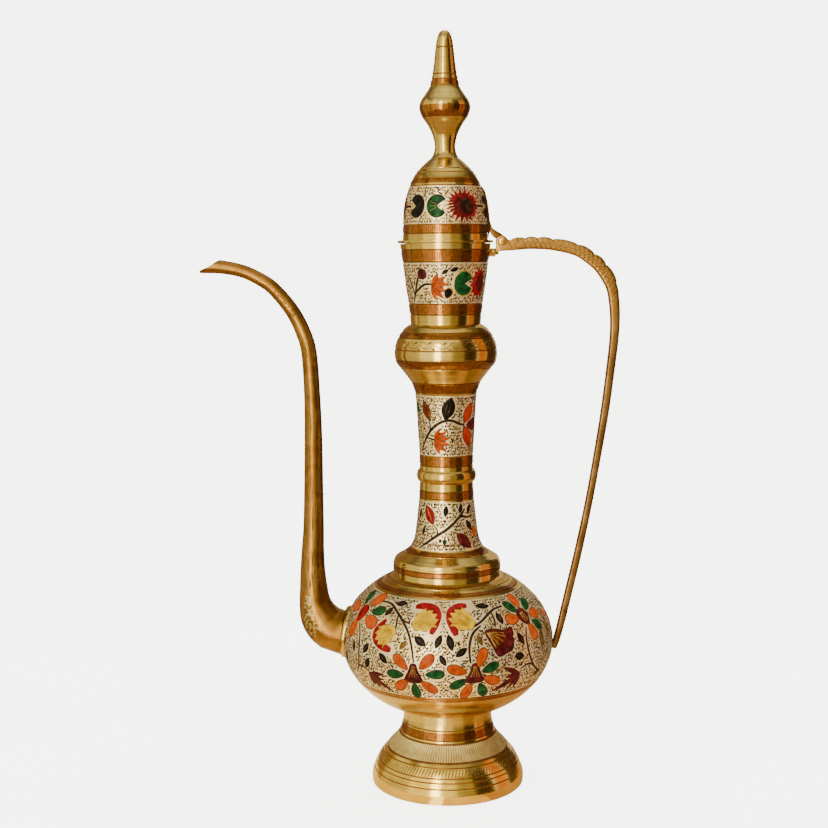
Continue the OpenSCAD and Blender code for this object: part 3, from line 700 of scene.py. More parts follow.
def notched(rx, ry, notch, depth):
    """A round leaf with a notch on its right side."""
    a = np.radians(np.linspace(notch, 360 - notch, 30))
    ring = np.stack([rx * np.cos(a), ry * np.sin(a)], 1)
    return np.vstack([ring, [(rx * depth, 0)]])


def burst(rx, ry, n, share):
    """A star of n points, with its notches at a share of its size."""
    a = circle(2 * n)
    k = np.where(np.arange(2 * n) % 2, share, 1.0)
    return np.stack([rx * k * np.cos(a), ry * k * np.sin(a)], 1)


def maple(length, width):
    """A leaf with pointed lobes, given as (degrees, share of the size)."""
    lobes = [(0, 1), (20, 0.55), (42, 0.92), (62, 0.5), (88, 0.78), (112, 0.42), (140, 0.5), (165, 0.22)]
    side = [(width * k * math.sin(math.radians(a)), length * k * math.cos(math.radians(a))) for a, k in lobes]
    return np.array(side + [(-u, v) for u, v in side[::-1][:-1]])


def fan(width, height, teeth):
    """A tulip's inner petals: narrow at the foot, toothed at the top."""
    top = []
    for i in range(2 * teeth + 1):
        u = width * (0.5 - i / (2 * teeth))
        top.append((u, height * (0.5 if i % 2 == 0 else 0.34) - 0.25 * height * (2 * u / width) ** 2))
    foot = [(-0.16 * width, -0.5 * height), (0.16 * width, -0.5 * height), (0.4 * width, -0.18 * height)]
    return np.array(foot + top + [(-0.4 * width, -0.18 * height)])


# Turned shells, each with its lines and its bands of heights
foot_top = FOOT_RIM - WALL
foot_ring = FOOT_R - 3.2
# The foot's lower bands take the brighter brass, a painted reflection of the pale floor.
turned(
    "foot", "vessel",
    np.vstack([[(FOOT_R - EDGE, 0), (FOOT_R - 0.1, 0.3)], foot_line, [(FOOT_RIM, FOOT_H)]]),
    marks(0, FOOT_H, 0.2, 0.27, 0.32, 0.43, 0.475, 0.675, 0.71, 0.83),
    [(0, 17.3, "bright"), (17.3, 24.5, "line"), (24.5, 25.9, "bright"), (25.9, 29.4, "lacquer")],
    [(foot_top, BELLY_Z - BELLY_LOW * math.sqrt(1 - (foot_top / BELLY_R) ** 2))]
    + [q for q in inset(foot_line, WALL)[::-1] if 4.8 < q[1] < 35.2] + [(foot_ring, 3), (foot_ring, 0)],
)
# The lowest copper-brown band, 37.8 to 41.4 mm up, darkens the underside of the bowl.
turned(
    "belly_bowl", "vessel", bowl_line, marks(BELLY_Z, BELLY_LOW, -0.473, -0.432),
    [(54.2, 71, "ground"), (51.4, 53.9, "lacquer"), (37.8, 41.4, "lacquer")],
    arc(BELLY_R - WALL, BELLY_LOW - WALL, 0, BELLY_FOOT, 30),
)
turned(
    "belly_shoulder", "vessel", shoulder_line, marks(BELLY_Z, BELLY_UP, 0.751, 0.811),
    [(69, 96.4, "ground"), (97.2, 98.7, "lacquer")],
    arc(BELLY_R - WALL, BELLY_UP - WALL, BELLY_TOP, 0, 30),
)
turned(
    "shoulder_collar", "vessel", collar_line, marks(COLLAR_Z, COLLAR_H, 0.21, 0.38, 0.82),
    [(*marks(COLLAR_Z, COLLAR_H, 0.22, 0.37), "lacquer"), (112.7, 114.6, "lacquer")],
)
turned(
    "lower_neck", "vessel", lower_neck_line, marks(NECK_Z, LOWER_NECK_H, 0.1, 0.77, 0.88),
    [(115.2, 137.7, "ground"), (138.9, 142.1, "lacquer")],
)
turned("neck_ring", "vessel", ring_line, inner=[(NECK_R - WALL, UPPER_Z), (NECK_R - WALL, RING_Z)])
turned(
    "upper_neck", "vessel", upper_neck_line, marks(UPPER_Z, UPPER_NECK_H, 0.06, 0.195),
    [(159.3, 188, "ground"), (154.4, 158.8, "lacquer")],
)
turned(
    "knop_bowl", "vessel", knop_low_line, marks(KNOP_Z, KNOP_LOW_H, 0.07, 0.29, 0.645, 0.84),
    [(189.2, 193.2, "lacquer"), (200.4, 203.9, "lacquer")],
)
turned(
    "knop_cap", "vessel", knop_up_line, marks(KNOP_MID, KNOP_UP_H, 0.14, 0.545, 0.74),
    [(214.6, 216.9, "lacquer")],
)
turned(
    "cup", "vessel", cup_line, marks(CUP_Z, CUP_H, 0.125, 0.26, 0.775, 0.925),
    [(225.3, 230.1, "lacquer"), (230.4, 249.2, "ground"), (249.6, 254.9, "lacquer")],
)
turned(
    "lid_flange", "lid",
    [(SPIGOT_R - WALL, FLANGE_Z), (FLANGE_R - EDGE, FLANGE_Z), (FLANGE_R - 0.1, FLANGE_Z + 0.12),
     (FLANGE_R, FLANGE_Z + EDGE), (FLANGE_R, DOME_Z - EDGE), (FLANGE_R - 0.1, DOME_Z - 0.12),
     (FLANGE_R - EDGE, DOME_Z)],
    inner=[(SPIGOT_R - WALL, DOME_Z)],
)
turned(
    "lid_dome", "lid", dome_line, marks(DOME_Z, DOME_H, 0.08, 0.185, 0.645, 0.73, 0.8, 0.85),
    [(262.6, 266.2, "lacquer"), (266.6, 284, "ground"), (285.2, 287.3, "lacquer")],
)
flare = [(r, FINIAL_Z + z) for r, z in ((6.9, -1.25), (6.3, -0.5), (5.75, 0.4), (5.3, 1.4), (5, 2.4))]
turned(
    "finial", "lid", np.vstack([flare, finial_line[finial_line[:, 1] > FINIAL_Z + 3]]),
    marks(FINIAL_Z, FINIAL_H, 0.56, 0.61, 0.65, 0.86), [(315.4, 320.9, "lacquer"), (330.3, 332.6, "lacquer")],
    [(0, flare[0][1])],
)

# Fluted band of the foot, and rows of ticks on the plain brass
FLUTES, FLUTE_STEPS = 140, 8
foot = Painter("foot", foot_line, "vessel")
run = np.linspace(foot.skin.run_at(17.8), foot.skin.run_at(24), 9)
swell = np.sin(math.pi * (np.arange(FLUTES * FLUTE_STEPS) % FLUTE_STEPS) / FLUTE_STEPS) ** 0.6
flutes = foot.skin.place(circle(FLUTES * FLUTE_STEPS)[None, :], run[:, None], (0.2 * swell - 0.09)[None, :])
foot.layer("flute").grid(flutes, wrap=True)
foot.finish((12.2, 15.1, 130, 0.9, 0.7, "cut_brown"), (26.3, 29, 124, 0.5, 0.5))
for name, line, body, *tick_rows in (
    ("collar", collar_line, "vessel", (104.7, 106.1, 146, 0, 0.5), (112.9, 114.3, 98, 0, 0.45)),
    ("knop_bowl", knop_low_line, "vessel", (189.8, 192.6, 92, 0.2, 0.4), (201, 203.4, 124, 0.2, 0.45)),
    ("finial", finial_line, "lid", (316, 320.4, 46, 1.0, 0.65), (330.6, 332.3, 30, 0, 0.45)),
):
    Painter(name, line, body).finish(*tick_rows)

# Engraved scrolls round the knop
knop = Painter("knop_cap", knop_up_line, "vessel")
for a in range(0, 360, 18):
    scroll = [(a, 210.2), (a + 5, 212.6), (a + 10, 212.9), (a + 13, 211.4), (a + 10, 210.3), (a + 7, 211.2)]
    for path in (scroll, [(a + 10, 210), (a + 15, 210.2), (a + 19, 211)]):
        knop.stem(path, 0.42, "cut_brown", 0.05)
    knop.blob("cut_brown", a + 16, 212.6, leaf(2.4, 1), 60, 0.06, 0)
    knop.blob("cut_brown", a + 3, 209.8, leaf(1.9, 0.8), 110, 0.06, 0)
knop.finish((215, 216.5, 116, 0, 0.45))


# Enamel of the belly: the panel on the front is repeated on the back
def flower(p, centre, petals, petal_size, greens, green_size):
    """Orange and green petals at places around a centre; sizes are (length, width)."""
    for place in petals:
        p.petal("orange", centre, place, *petal_size)
    for place in greens:
        p.petal("green", centre, place, *green_size)


def bell(p, angle, z):
    """The striped heart of a large flower."""
    right = [(1.2, 4.8), (2.2, 1.6), (4.1, -2.6), (2.4, -3.8)]
    p.blob("maroon", angle, z, closed([(-1.2, 4.8)] + right + [(-2, -4), (-4.4, -2.8), (-2.2, 1.6)], 4))
    for x in (-1.5, -0.5, 0.5, 1.5):
        p.scratch("gold", angle, z, [(0.35 * x, 4.2), (0.7 * x, 1.4), (1.5 * x, -1.2)], 0.24)
    p.blob("maroon", angle, z - 2.8, leaf(9.6, 2.4, -0.6), 90, 0.24, 0)


def tulip(p, angle, z, size, turn, veins, crescent, width):
    """Toothed inner petals with veins, and a red outer petal along a crescent."""
    p.blob("yellow", angle, z, fan(size, 1.08 * size, 4), turn, 0.2)
    for k in range(veins):
        x = (k - (veins - 1) / 2) / veins
        vein = [(0.25 * x * size, -0.36 * size), (0.5 * x * size, 0), (0.85 * x * size, 0.3 * size)]
        p.scratch("brown", angle, z, vein, 0.26, turn, 0.25)
    p.stem(crescent, width, "red", 0.12, 0.12)


def square_tulip(p, angle, z):
    """A maroon tulip with a brown corner and gold veins."""
    outline = [(-7, 5.2), (-2.3, 6.2), (2.3, 4.8), (7.3, 5.6), (6.2, -3.3), (2, -5.4), (-2.3, -6.2), (-5, -1)]
    corner = [(-6.8, 5), (-2.3, 5.9), (2.3, 4.1), (3.4, 1.3), (0.6, -0.6), (-3, -2.6), (-5, -0.4)]
    p.blob("maroon", angle, z, closed(outline, 3))
    p.blob("brown", angle, z, corner, 0, 0.2, 0, core=(-2.4, 2))
    for u, v in ((-3.4, -2.2), (-1.4, -1.2), (0.8, 0.2), (2.6, 1.9), (2, 3.8)):
        p.scratch("gold", angle, z, [(-6.2, 4.6), (0.5 * u - 3, 0.5 * v + 2.5), (u, v)], 0.4, 0, 0.26)


def palm(p, angle, z, *leaflets):
    """A spiky leaf: narrow leaflets (turn, length) from one joint."""
    r = p.radius(z)
    for turn, length in leaflets:
        q = math.radians(turn)
        p.blob("maroon", angle + math.degrees(length / 2 * math.sin(q) / r), z + 0.46 * length * math.cos(q),
               leaf(length, 0.09 * length + 1.2), turn, 0.13, 0.2)


def belly_panel(p):
    for centre, petals, greens in (
        ((-19, 65.7), ((-26, 71), (-12, 72), (-11, 60), (-26.4, 60)),
         ((-7.6, 66.4), (-18.6, 57.6), (-29.4, 65))),
        ((13, 66), ((3.6, 68.4), (16.6, 73.6), (22.6, 62.6), (9.2, 57.8)),
         ((21.4, 68.6), (17.8, 58), (4.4, 61.8))),
    ):
        flower(p, centre, petals, (9, 5.2), greens, (8.4, 4.8))
        bell(p, *centre)
    tulip(p, -14.4, 89.1, 11.8, 55, 6,
          [(-23, 93.7), (-18, 94.3), (-11, 93.7), (-7.8, 91.4), (-8.4, 88), (-10.2, 83.8)], 5)
    tulip(p, 7.6, 89.5, 11.8, -55, 7,
          [(12.4, 94.5), (7, 94.3), (2.2, 92.7), (1.2, 89.8), (2.4, 86.6), (3.8, 83.4)], 5.1)
    tulip(p, -37.6, 81.6, 11, -120, 6,
          [(-39.8, 87.6), (-43.4, 83.6), (-43.6, 80.4), (-40.4, 77.8), (-35.8, 76.3), (-32, 75.6)], 4.7)
    square_tulip(p, 28.7, 79.4)
    flower(p, (-65, 87.6), ((-57, 93.6), (-51.6, 85.4), (-77, 88), (-66, 80.6)), (9.4, 6.8),
           ((-70, 93.4), (-49.6, 90)), (8.6, 5.4))
    p.blob("red", -63.6, 87.2, petal(8.8, 7.6), 8, 0.2)
    heart = (51, 87.2)
    flower(p, heart, ((52, 93.6), (41, 87.4), (63, 86.8), (53.4, 80.4)), (8.2, 6),
           ((44.4, 91.8), (60.4, 91.2), (60.4, 82.4)), (8, 5.2))
    p.blob("maroon", *heart, petal(8.4, 8.2), -15, 0.2)
    for x in (-1, 0, 1):
        p.scratch("gold", *heart, [(x, 2.4), (1.2 * x, 0), (x, -2.6)], 0.28, -15, 0.26)
    flower(p, (83, 81), ((76.5, 84.6), (90, 85.4), (84, 74.6), (92.4, 77.4)), (7, 3.8),
           ((82, 88.4),), (6, 3.4))
    p.blob("red", 83.4, 80.8, petal(7.4, 5), 10, 0.2)
    p.stems(
        0.85,
        [(-18.7, 71.4), (-20.2, 78), (-23.2, 83.7), (-28, 87.7), (-33, 90.4), (-40, 93), (-46, 93.8),
         (-53, 93.6)],
        [(10.6, 71.4), (10.2, 77.3), (11.3, 81.4), (13.6, 84.4), (18.4, 86.8)],
        [(14.4, 86.6), (19.5, 88.4), (25.4, 90.8), (31, 92.3), (38, 92.8)],
        [(-61, 83.6), (-56.4, 78.6), (-55, 71.8), (-56, 65), (-60, 60.4)],
        [(48.6, 83), (46, 78), (47, 70.8), (52, 64.4), (61, 59.6)],
    )
    p.stems(
        0.7, [(-33, 90.4), (-28.6, 88.4), (-23.4, 87.4)], [(-33, 89.8), (-32.2, 87.4), (-31.4, 84.6)],
        [(27.6, 91.4), (28, 88.4), (27.2, 85.6)], [(-57, 64.4), (-52, 65), (-47, 63)],
        [(53.4, 63.4), (47, 66.8), (40, 65.4)], [(64, 84), (70, 80.6), (76, 74.6)],
    )
    for angle, z, turn, length, width in (
        (-34.6, 94.3, 80, 5.2, 1.9), (-41, 90.8, 25, 4.6, 1.8), (-16, 80.8, -55, 5.6, 2.3),
        (-6, 81, 22, 5.6, 1.8), (0.3, 80.6, -14, 6.4, 2.1), (6, 76.4, 55, 5.4, 1.8),
        (-36.6, 71.4, -50, 5.2, 2), (23.4, 93.9, 98, 5.8, 1.9), (32, 88.6, -12, 5.2, 1.9),
        (39.4, 71.6, 100, 5, 2.3), (42, 79, -26, 5.6, 1.9), (-49.4, 74, 35, 5, 1.9),
        (-48, 67.4, 30, 4.8, 1.9), (-60.6, 73, -10, 5, 1.7), (56, 60.6, 62, 4.8, 1.6),
        (-71, 66, 20, 5, 1.8), (-3.6, 73, -30, 4.6, 1.6),
    ):
        p.blob("black", angle, z, leaf(1.15 * length, 1.45 * width), turn)
        p.scratch("cut_brown", angle, z, [(0, -0.34 * length), (0, 0), (0, 0.34 * length)], 0.2, turn)
    p.leaves("cut_brown", (-25.2, 78.6, 35, 4.8, 2), (16.4, 81, -20, 4.8, 1.8),
             (60.5, 76.6, 12, 11, 4), (71, 79, 20, 11, 4))
    palm(p, -48, 62.6, (84, 10), (104, 9), (122, 15.6), (140, 10), (160, 7.4))
    palm(p, 40.5, 63.4, (-66, 11.6), (-94, 9), (-118, 17), (-142, 10), (-164, 8.6))
    palm(p, 80, 61.5, (-30, 8), (0, 11), (30, 8))
    palm(p, -76, 69.5, (-30, 7), (2, 9), (30, 7))


SPOUT_CLEAR = 13.2
belly = Painter("belly", belly_line, "vessel")
belly.panels(belly_panel, 0, 180)
around = circle(30)
belly.taken.append(belly.spread(-90, SPOUT_Z, SPOUT_CLEAR * np.stack([np.sin(around), np.cos(around)], 1)))
belly.strokes(54.4, 96.4)
belly.finish((97.4, 98.5, 204, 0, 0.5), (100, 100.8, 190, 0, 0.5), (52, 53.4, 210, 0, 0.5))


# Enamel of the necks, the cup and the lid
def spray(p, angle, z, turn, length):
    """A fan of narrow leaves from one point, with veins between them."""
    for t in (-66, -40, -14, 12, 38, 64):
        q = math.radians(turn + t)
        k = length * (0.5 if abs(t) < 60 else 0.42)
        p.blob("orange", angle + math.degrees(k * math.sin(q) / p.radius(z)), z + k * math.cos(q),
               leaf(2 * k, 0.24 * length), turn + t, 0.13, 0.2)
    vein = [(0, 0.06 * length), (0, 0.4 * length), (0, 0.72 * length)]
    for t in (-53, -27, -1, 25, 51):
        p.scratch("brown", angle, z, vein, 0.34, turn + t, 0.24, 0.2)


def lower_neck_panel(p):
    p.leaves("red", (-37, 131.6, -29, 9.8, 4.6))
    p.scratch("gold", -37, 131.6, [(0, 3.6), (0.1, 0), (0, -3.8)], 0.25, -29)
    p.leaves("maroon", (31, 119.6, -43, 10, 5))
    for x in (-0.8, 0.4):
        p.scratch("brown", 31, 119.6, [(x, 3), (x, 0), (0.6 * x, -3.4)], 0.24, -43)
    p.leaves("orange", (61, 123, -16, 6, 3.4), (92, 131.4, 24, 7, 3.6))
    p.leaves("black", (-3, 133.6, 4, 5.2, 1.9), (-49, 123.9, 10, 5.2, 1.3), (46, 126.4, -32, 6, 2.4),
             (49, 134.2, 28, 5.4, 1.8), (28, 134.6, 20, 4.2, 1.6), (-64, 131.6, 10, 5, 1.7),
             (76, 121, -20, 5, 1.8))
    p.stem([(-26, 127), (-19, 124.6), (-20, 121.8)], 0.5)
    p.stem([(-52, 115.8), (-25, 121.2), (1, 125.6), (21, 130), (38, 134.4)], 1.0)
    p.stems(0.8, [(20, 129.6), (30, 131), (43, 130.4), (58, 131)], [(78, 116), (84, 122), (92, 127.4)])
    p.stem([(5, 124.2), (14, 123.8), (20, 122.8)], 0.6, "brown")
    p.blob("green", -5, 119.4, petal(2, 1.8), 0, 0.12, 0.35)
    p.blob("black", -13, 119.8, petal(1.4, 1.2), 0, 0.12, 0.3)


def upper_neck_panel(p):
    p.leaves("brown", (-43, 180.8, -20, 9.4, 4.4))
    p.scratch("black", -43, 180.8, [(0, 3), (0, 0), (0, -3.4)], 0.3, -20)
    p.leaves("black", (3, 181.8, 16, 11, 5.8), (96, 173.6, 90, 6, 2.4))
    for x in (-0.8, 0.5):
        p.scratch("cut_brown", 3, 181.8, [(x, 2.6), (1.2 * x, 0), (0.7 * x, -3)], 0.26, 16)
    p.leaves("vermilion", (47, 179.4, 28, 10.4, 5), (46.6, 168.4, 155, 11, 5),
             (81, 179.4, -28, 10.4, 5), (81.4, 168.4, -155, 11, 5))
    p.blob("maroon", 64, 173.8, petal(9.6, 6.4), 90, 0.18)
    p.leaves("green", (-72, 181.6, -18, 6.4, 3))
    p.stem([(-64, 160.8), (-49, 166.7), (-37, 170.7), (-22, 174), (-6, 176), (10, 176.2), (26, 174.6),
            (38, 174)], 0.95)
    p.stems(0.6, [(-38, 176.4), (-35, 173.6), (-37, 170.8)], [(-44, 168), (-32, 167.4), (-22, 166.8)],
            [(-70, 178), (-62, 172), (-56, 164)])
    p.stems(0.5, [(36, 173.6), (38, 178.4), (52, 184.8)], [(36, 173.6), (37, 169), (50, 162.8)])
    spray(p, -27, 166.6, 92, 8)


def cup_panel(p):
    p.blob("maroon", -35.6, 244, burst(2.6, 2.5, 9, 0.84))
    p.blob("black", -35.6, 244, petal(2, 2), 0, 0.22, 0)
    p.blob("black", 2, 235.2, petal(4.8, 4.2), 20, 0.2, 0.5, rim_colour="gold")
    p.blob("green", 25.6, 239.6, notched(4.9, 5.7, 22, 0.05), 0, 0.14, 0.6, (-1.6, 0), "gold")
    p.blob("red", 53, 239.8, burst(5.4, 7.4, 13, 0.72), 6)
    p.blob("maroon", 56, 239.8, burst(3.8, 5.4, 13, 0.7), -6, 0.2, 0)
    p.blob("orange", 92, 236.4, maple(5, 4.6), -10)
    p.leaves("green", (80, 243, 40, 6.4, 3.4))
    p.leaves("black", (10.6, 246, 70, 4, 1.5), (-2, 245, 60, 3.4, 1.3))
    p.stem([(-57, 230.9), (-51, 235.3), (-47, 239), (-43.4, 241.8), (-40, 243)], 0.9)
    p.stem([(-53, 234), (-58, 239.4), (-67, 243.6)], 0.75)
    p.stems(0.8, [(-51.5, 235), (-42, 237.4), (-32, 239.2), (-21, 239.4)], [(58, 231), (66, 236), (74, 240)])
    spray(p, -22, 238.6, 98, 8.2)


def lid_panel(p):
    p.blob("black", -45, 274.8, notched(4.4, 5.2, 30, 0.1), 180, core=(-1.4, 0))
    for v in (1.6, -1.6):
        p.scratch("gold", -45, 274.8, [(-3.2, v), (-1.6, 0.5 * v), (-0.6, 0)], 0.36)
    p.blob("green", -13, 274.7, notched(4.6, 5.1, 34, 0.0), 0, core=(-1.6, 0))
    for v in (-2.4, 0, 2.4):
        p.scratch("gold", -13, 274.7, [(0.2, 0.2 * v), (-1.6, 0.6 * v), (-3.2, v)], 0.22)
    p.blob("red", 25, 275, burst(11, 8.4, 22, 0.6))
    p.blob("maroon", 27, 274.8, burst(8.4, 6.8, 22, 0.62), 8, 0.18, 0)
    p.blob("stem", 29, 275, burst(5.4, 4.6, 18, 0.5), 4, 0.26, 0)
    p.stem([(46, 274.6), (56, 274.8), (64, 274.6)], 0.8)


FRONT_AND_BACK, THREE_TIMES = (0, 180), (0, 120, 240)
for name, line, body, panel, turns, ground, *tick_rows in (
    ("lower_neck", lower_neck_line, "vessel", lower_neck_panel, FRONT_AND_BACK, (115.4, 137.7),
     (139.4, 141.6, 74, 0, 0.45)),
    ("upper_neck", upper_neck_line, "vessel", upper_neck_panel, FRONT_AND_BACK, (159.5, 187.6),
     (155, 158.2, 80, 0.2, 0.5)),
    ("cup", cup_line, "vessel", cup_panel, FRONT_AND_BACK, (230.5, 249, 0.4),
     (226.2, 229.4, 110, 0.2, 0.5), (250.4, 254, 124, 0.2, 0.5)),
    ("lid_dome", dome_line, "lid", lid_panel, THREE_TIMES, (266.8, 283.9, 0.3),
     (263.2, 265.8, 120, 0, 0.5), (285.5, 287, 90, 0, 0.45)),
):
    painter = Painter(name, line, body)
    painter.panels(panel, *turns)
    painter.strokes(*ground)
    painter.finish(*tick_rows)


# Spout: a bent tube with a saddle root and a slanting mouth
SPOUT_R, SPOUT_WALL, SPOUT_SIDES = 11, 1.1, 56
SPOUT_OUT, SPOUT_RISE = (13, 59.9), (30, 178)
ROOT_LIFT, MOUTH_SLANT, SLANT_LENGTH = 1.66, 4.5, 8
spout_shape = [
    (0.323, 0.14, 0.964), (0.615, 0.237, 0.918), (0.846, 0.387, 0.836), (0.977, 0.58, 0.7),
    (1.006, 0.8, 0.614), (1.013, 1.025, 0.541), (1.009, 1.091, 0.491), (0.992, 1.168, 0.45),
    (0.969, 1.302, 0.414), (0.954, 1.457, 0.386), (0.977, 1.591, 0.35), (1.019, 1.726, 0.336),
    (1.083, 1.798, 0.323), (1.19, 1.863, 0.309), (1.356, 1.927, 0.291), (1.49, 1.958, 0.282),
    (1.661, 1.984, 0.277), (1.851, 1.997, 0.286), (2, 2, 0.291),
]
around = circle(SPOUT_SIDES)


def in_two(u, first, last):
    """A length that is first at 1 and last at 2."""
    return first * u if u < 1 else first + (last - first) * (u - 1)


def saddle(rho, t):
    """A ring round the root of the spout, t outside the belly's surface."""
    y, z = rho * np.sin(around), SPOUT_Z + rho * np.cos(around)
    h = np.where(z > BELLY_Z, BELLY_UP + t, BELLY_LOW + t)
    return np.stack([-np.sqrt((BELLY_R + t) ** 2 * (1 - ((z - BELLY_Z) / h) ** 2) - y * y), y, z], 1)


spout_line = smooth([
    (-BELLY_R - in_two(u, *SPOUT_OUT), BELLY_Z + in_two(v, *SPOUT_RISE), SPOUT_R * k)
    for u, v, k in spout_shape
], 7)


def spout_rings(inside):
    """Rings of points from the root to the tip, inside of the outer side by so much."""
    rings = [saddle(SPOUT_R - inside, ROOT_LIFT)]
    length = lengths(spout_line[:, :2])
    slant = MOUTH_SLANT * np.clip((length - length[-1] + SLANT_LENGTH) / SLANT_LENGTH, 0, 1)
    for (x, zc, r), (dx, dz), s in zip(spout_line, along(spout_line[:, :2]), slant):
        r = r - inside
        c, s = np.cos(around), -s * np.cos(around)
        rings.append(np.stack([x + r * c * dz + s * dx, r * np.sin(around), zc - r * c * dx + s * dz], 1))
    return rings


rings = spout_rings(0) + spout_rings(SPOUT_WALL)[::-1]
faces = grid_faces(len(rings), SPOUT_SIDES, wrap=True, loop=True)
make("spout_tube", np.vstack(rings), faces, ["spout"], "vessel", "spout")


def spout_mark(patch, i, turn, di, dturn, lift=0.09):
    """A small lens-shaped mark along the spout: its ring, degrees towards the vessel, and half sizes."""
    t = np.linspace(-1, 1, 7)[None, :]
    k = np.array([-1, -0.5, 0, 0.5, 1])[:, None]
    up = np.array([-0.02, 0.8, 1, 0.8, -0.02])[:, None] * lift + 0 * t
    x, z, r, dx, dz = bent(spout_line, i + di * t + 0 * k)
    q = np.radians(270 + (turn + dturn * k * (1 - t * t)))
    r = r + up
    patch.grid(np.stack([x + r * np.cos(q) * dz, r * np.sin(q), z - r * np.cos(q) * dx], -1))


# Chasing of the spout: a panel of scales near the root, long marks along it, short ones near the mouth
CHASED_ROWS = 22
pale, dark = Patch(), Patch()
for a in range(CHASED_ROWS):
    t = (a + 0.5) / CHASED_ROWS
    wide = 25 * (1 - 0.5 * t)
    for b in (-0.75, -0.25, 0.25, 0.75):
        ring = 7 + 19 * t + 0.4 * rng.uniform(-1, 1)
        turn = -34 + 16 * t + wide * (b + 0.22 * rng.uniform(-1, 1))
        if rng.random() < 0.72:
            spout_mark(pale, ring, turn, rng.uniform(0.4, 0.62), rng.uniform(4, 6.5))
        else:
            spout_mark(dark, ring, turn, rng.uniform(0.3, 0.5), rng.uniform(3, 5), 0.11)
for a in range(90):
    ring, turn = rng.uniform(28, 82), rng.uniform(-62, 62)
    spout_mark(dark, ring, turn, rng.uniform(1.6, 3.2), rng.uniform(1.6, 2.8), 0.07)
for a in range(34):
    spout_mark(dark, 86 + 12 * rng.random(), 24 * rng.uniform(-1, 1) - 6, 0.3, 6)
pale.piece("spout_chasing_pale", "pale", "vessel", "cast_brass")
dark.piece("spout_chasing_marks", "chase", "vessel", "cast_brass")

# Plate at the root of the spout, as rings (radius, distance outside the belly)
plate = Patch()
plate.grid(np.array([saddle(rho, t) for rho, t in (
    (8, 0.1), (8, 1.5), (11.4, 1.58), (11.8, 1.55), (12.1, 1.35), (12.34, 0.95), (12.4, 0.5), (12.4, 0.05),
)]), wrap=True)
plate.piece("spout_plate_saddle", "brass", "vessel", "cast_brass", "spout_plate", 38)

# Handle: a scalloped bar with two cheeks at the hinge and a tang to the lug
HANDLE_REACH, HANDLE_DROP = 79.4, 36.5
BAR_W, HALF_T, SCALLOP = 2.5, 2.5, 0.9
STEPS, LAST_LOBE, SECTION = 16, 8, 40
BOSS_R, SLOT_HALF, FLOOR_HALF, TANG_HALF = 2.7, 1.15, 1.2, 1
SLOT_END, TANG_END = PIN_X + 6.3, PIN_X - 1.5
TOE = (PIN_X - 2.8, PIN_Z - 4.7)
LUG_X = float(np.interp(LUG_Z, cup_line[:, 1], cup_line[:, 0])) + 1.45
handle_top = [
    (0.013, -0.052, 0.96), (0.088, -0.047, 1), (0.206, -0.033, 1), (0.313, -0.033, 1), (0.441, -0.047, 1),
    (0.651, -0.115, 1.04), (0.782, -0.23, 1.08), (0.874, -0.351, 1.12), (0.962, -0.562, 1.08),
    (0.989, -0.753, 1), (1, -1, 0.92),
]
handle_fall = [
    (0.986, 0.935, 0.84), (0.932, 0.843, 0.8), (0.85, 0.719, 0.78), (0.734, 0.582, 0.72),
    (0.59, 0.425, 0.7), (0.42, 0.268, 0.72), (0.273, 0.147, 0.72), (0.147, 0.045, 0.68),
    (0.078, -0.004, 0.64), (0.027, -0.032, 0.6),
]
handle_line = smooth(
    [(PIN_X + (HANDLE_REACH - PIN_X) * u, PIN_Z + HANDLE_DROP * v, BAR_W * w) for u, v, w in handle_top]
    + [(BELLY_R + (HANDLE_REACH - BELLY_R) * u, BELLY_Z + (PIN_Z - HANDLE_DROP - BELLY_Z) * v, BAR_W * w)
       for u, v, w in handle_fall], STEPS)
handle_d = along(handle_line[:, :2])
handle_run = lengths(handle_line[:, :2])
start = next(i for i in range(len(handle_line)) if handle_line[i][0] > SLOT_END)


def lobe(i):
    t = i / STEPS
    return SCALLOP * math.sin(math.pi * (t % 1)) ** 0.5 if 1 < t < LAST_LOBE else 0.0


def bar_edge(i, side):
    """A point on the outer (1) or inner (-1) edge of the bar, in the plane of the handle."""
    x, z, w = handle_line[i]
    dx, dz = handle_d[i]
    w = w + lobe(i) if side > 0 else -w
    return (x - w * dz, z + w * dx)


def bar_half(i):
    """Half the thickness of the bar, which thins towards its lower end."""
    return HALF_T * (1.012 - 0.2 * (i - start) / len(handle_line))


handle = Patch()
boss_turn = np.radians(np.arange(180, 29, -10))
boss = [(PIN_X + BOSS_R * math.cos(a), PIN_Z + BOSS_R * math.sin(a)) for a in boss_turn]
inlaid = start + 4
cheek = ([bar_edge(i, -1) for i in range(inlaid, 4, -4)] + [TOE] + boss
         + [bar_edge(i, 1) for i in range(12, inlaid, 3)] + [bar_edge(inlaid, 1)])
for side in (-1, 1):
    handle.plate(cheek, side * SLOT_HALF, side * HALF_T, 0.3)
slot_floor = [bar_edge(i, -1) for i in range(start, 4, -4)] + [
    TOE, (TOE[0], PIN_Z - 3.2), (PIN_X + 2.9, PIN_Z - 3.2), (PIN_X + 2.9, PIN_Z - 1.2),
    (SLOT_END, PIN_Z - 1.2),
]
handle.plate(slot_floor, -FLOOR_HALF, FLOOR_HALF, 0.02)
tang = [(LUG_X - 1.1, LUG_Z - 1.45), (TANG_END, LUG_Z - 1.45), (TANG_END, LUG_Z + 1.3),
        (LUG_X - 0.8, LUG_Z + 1.45)]
handle.plate(tang, -TANG_HALF, TANG_HALF, 0.2)
c, s = np.cos(circle(SECTION)), np.sin(circle(SECTION))
across, beside = np.sign(c) * np.abs(c) ** 0.5, np.sign(s) * np.abs(s) ** 0.5
bar = []
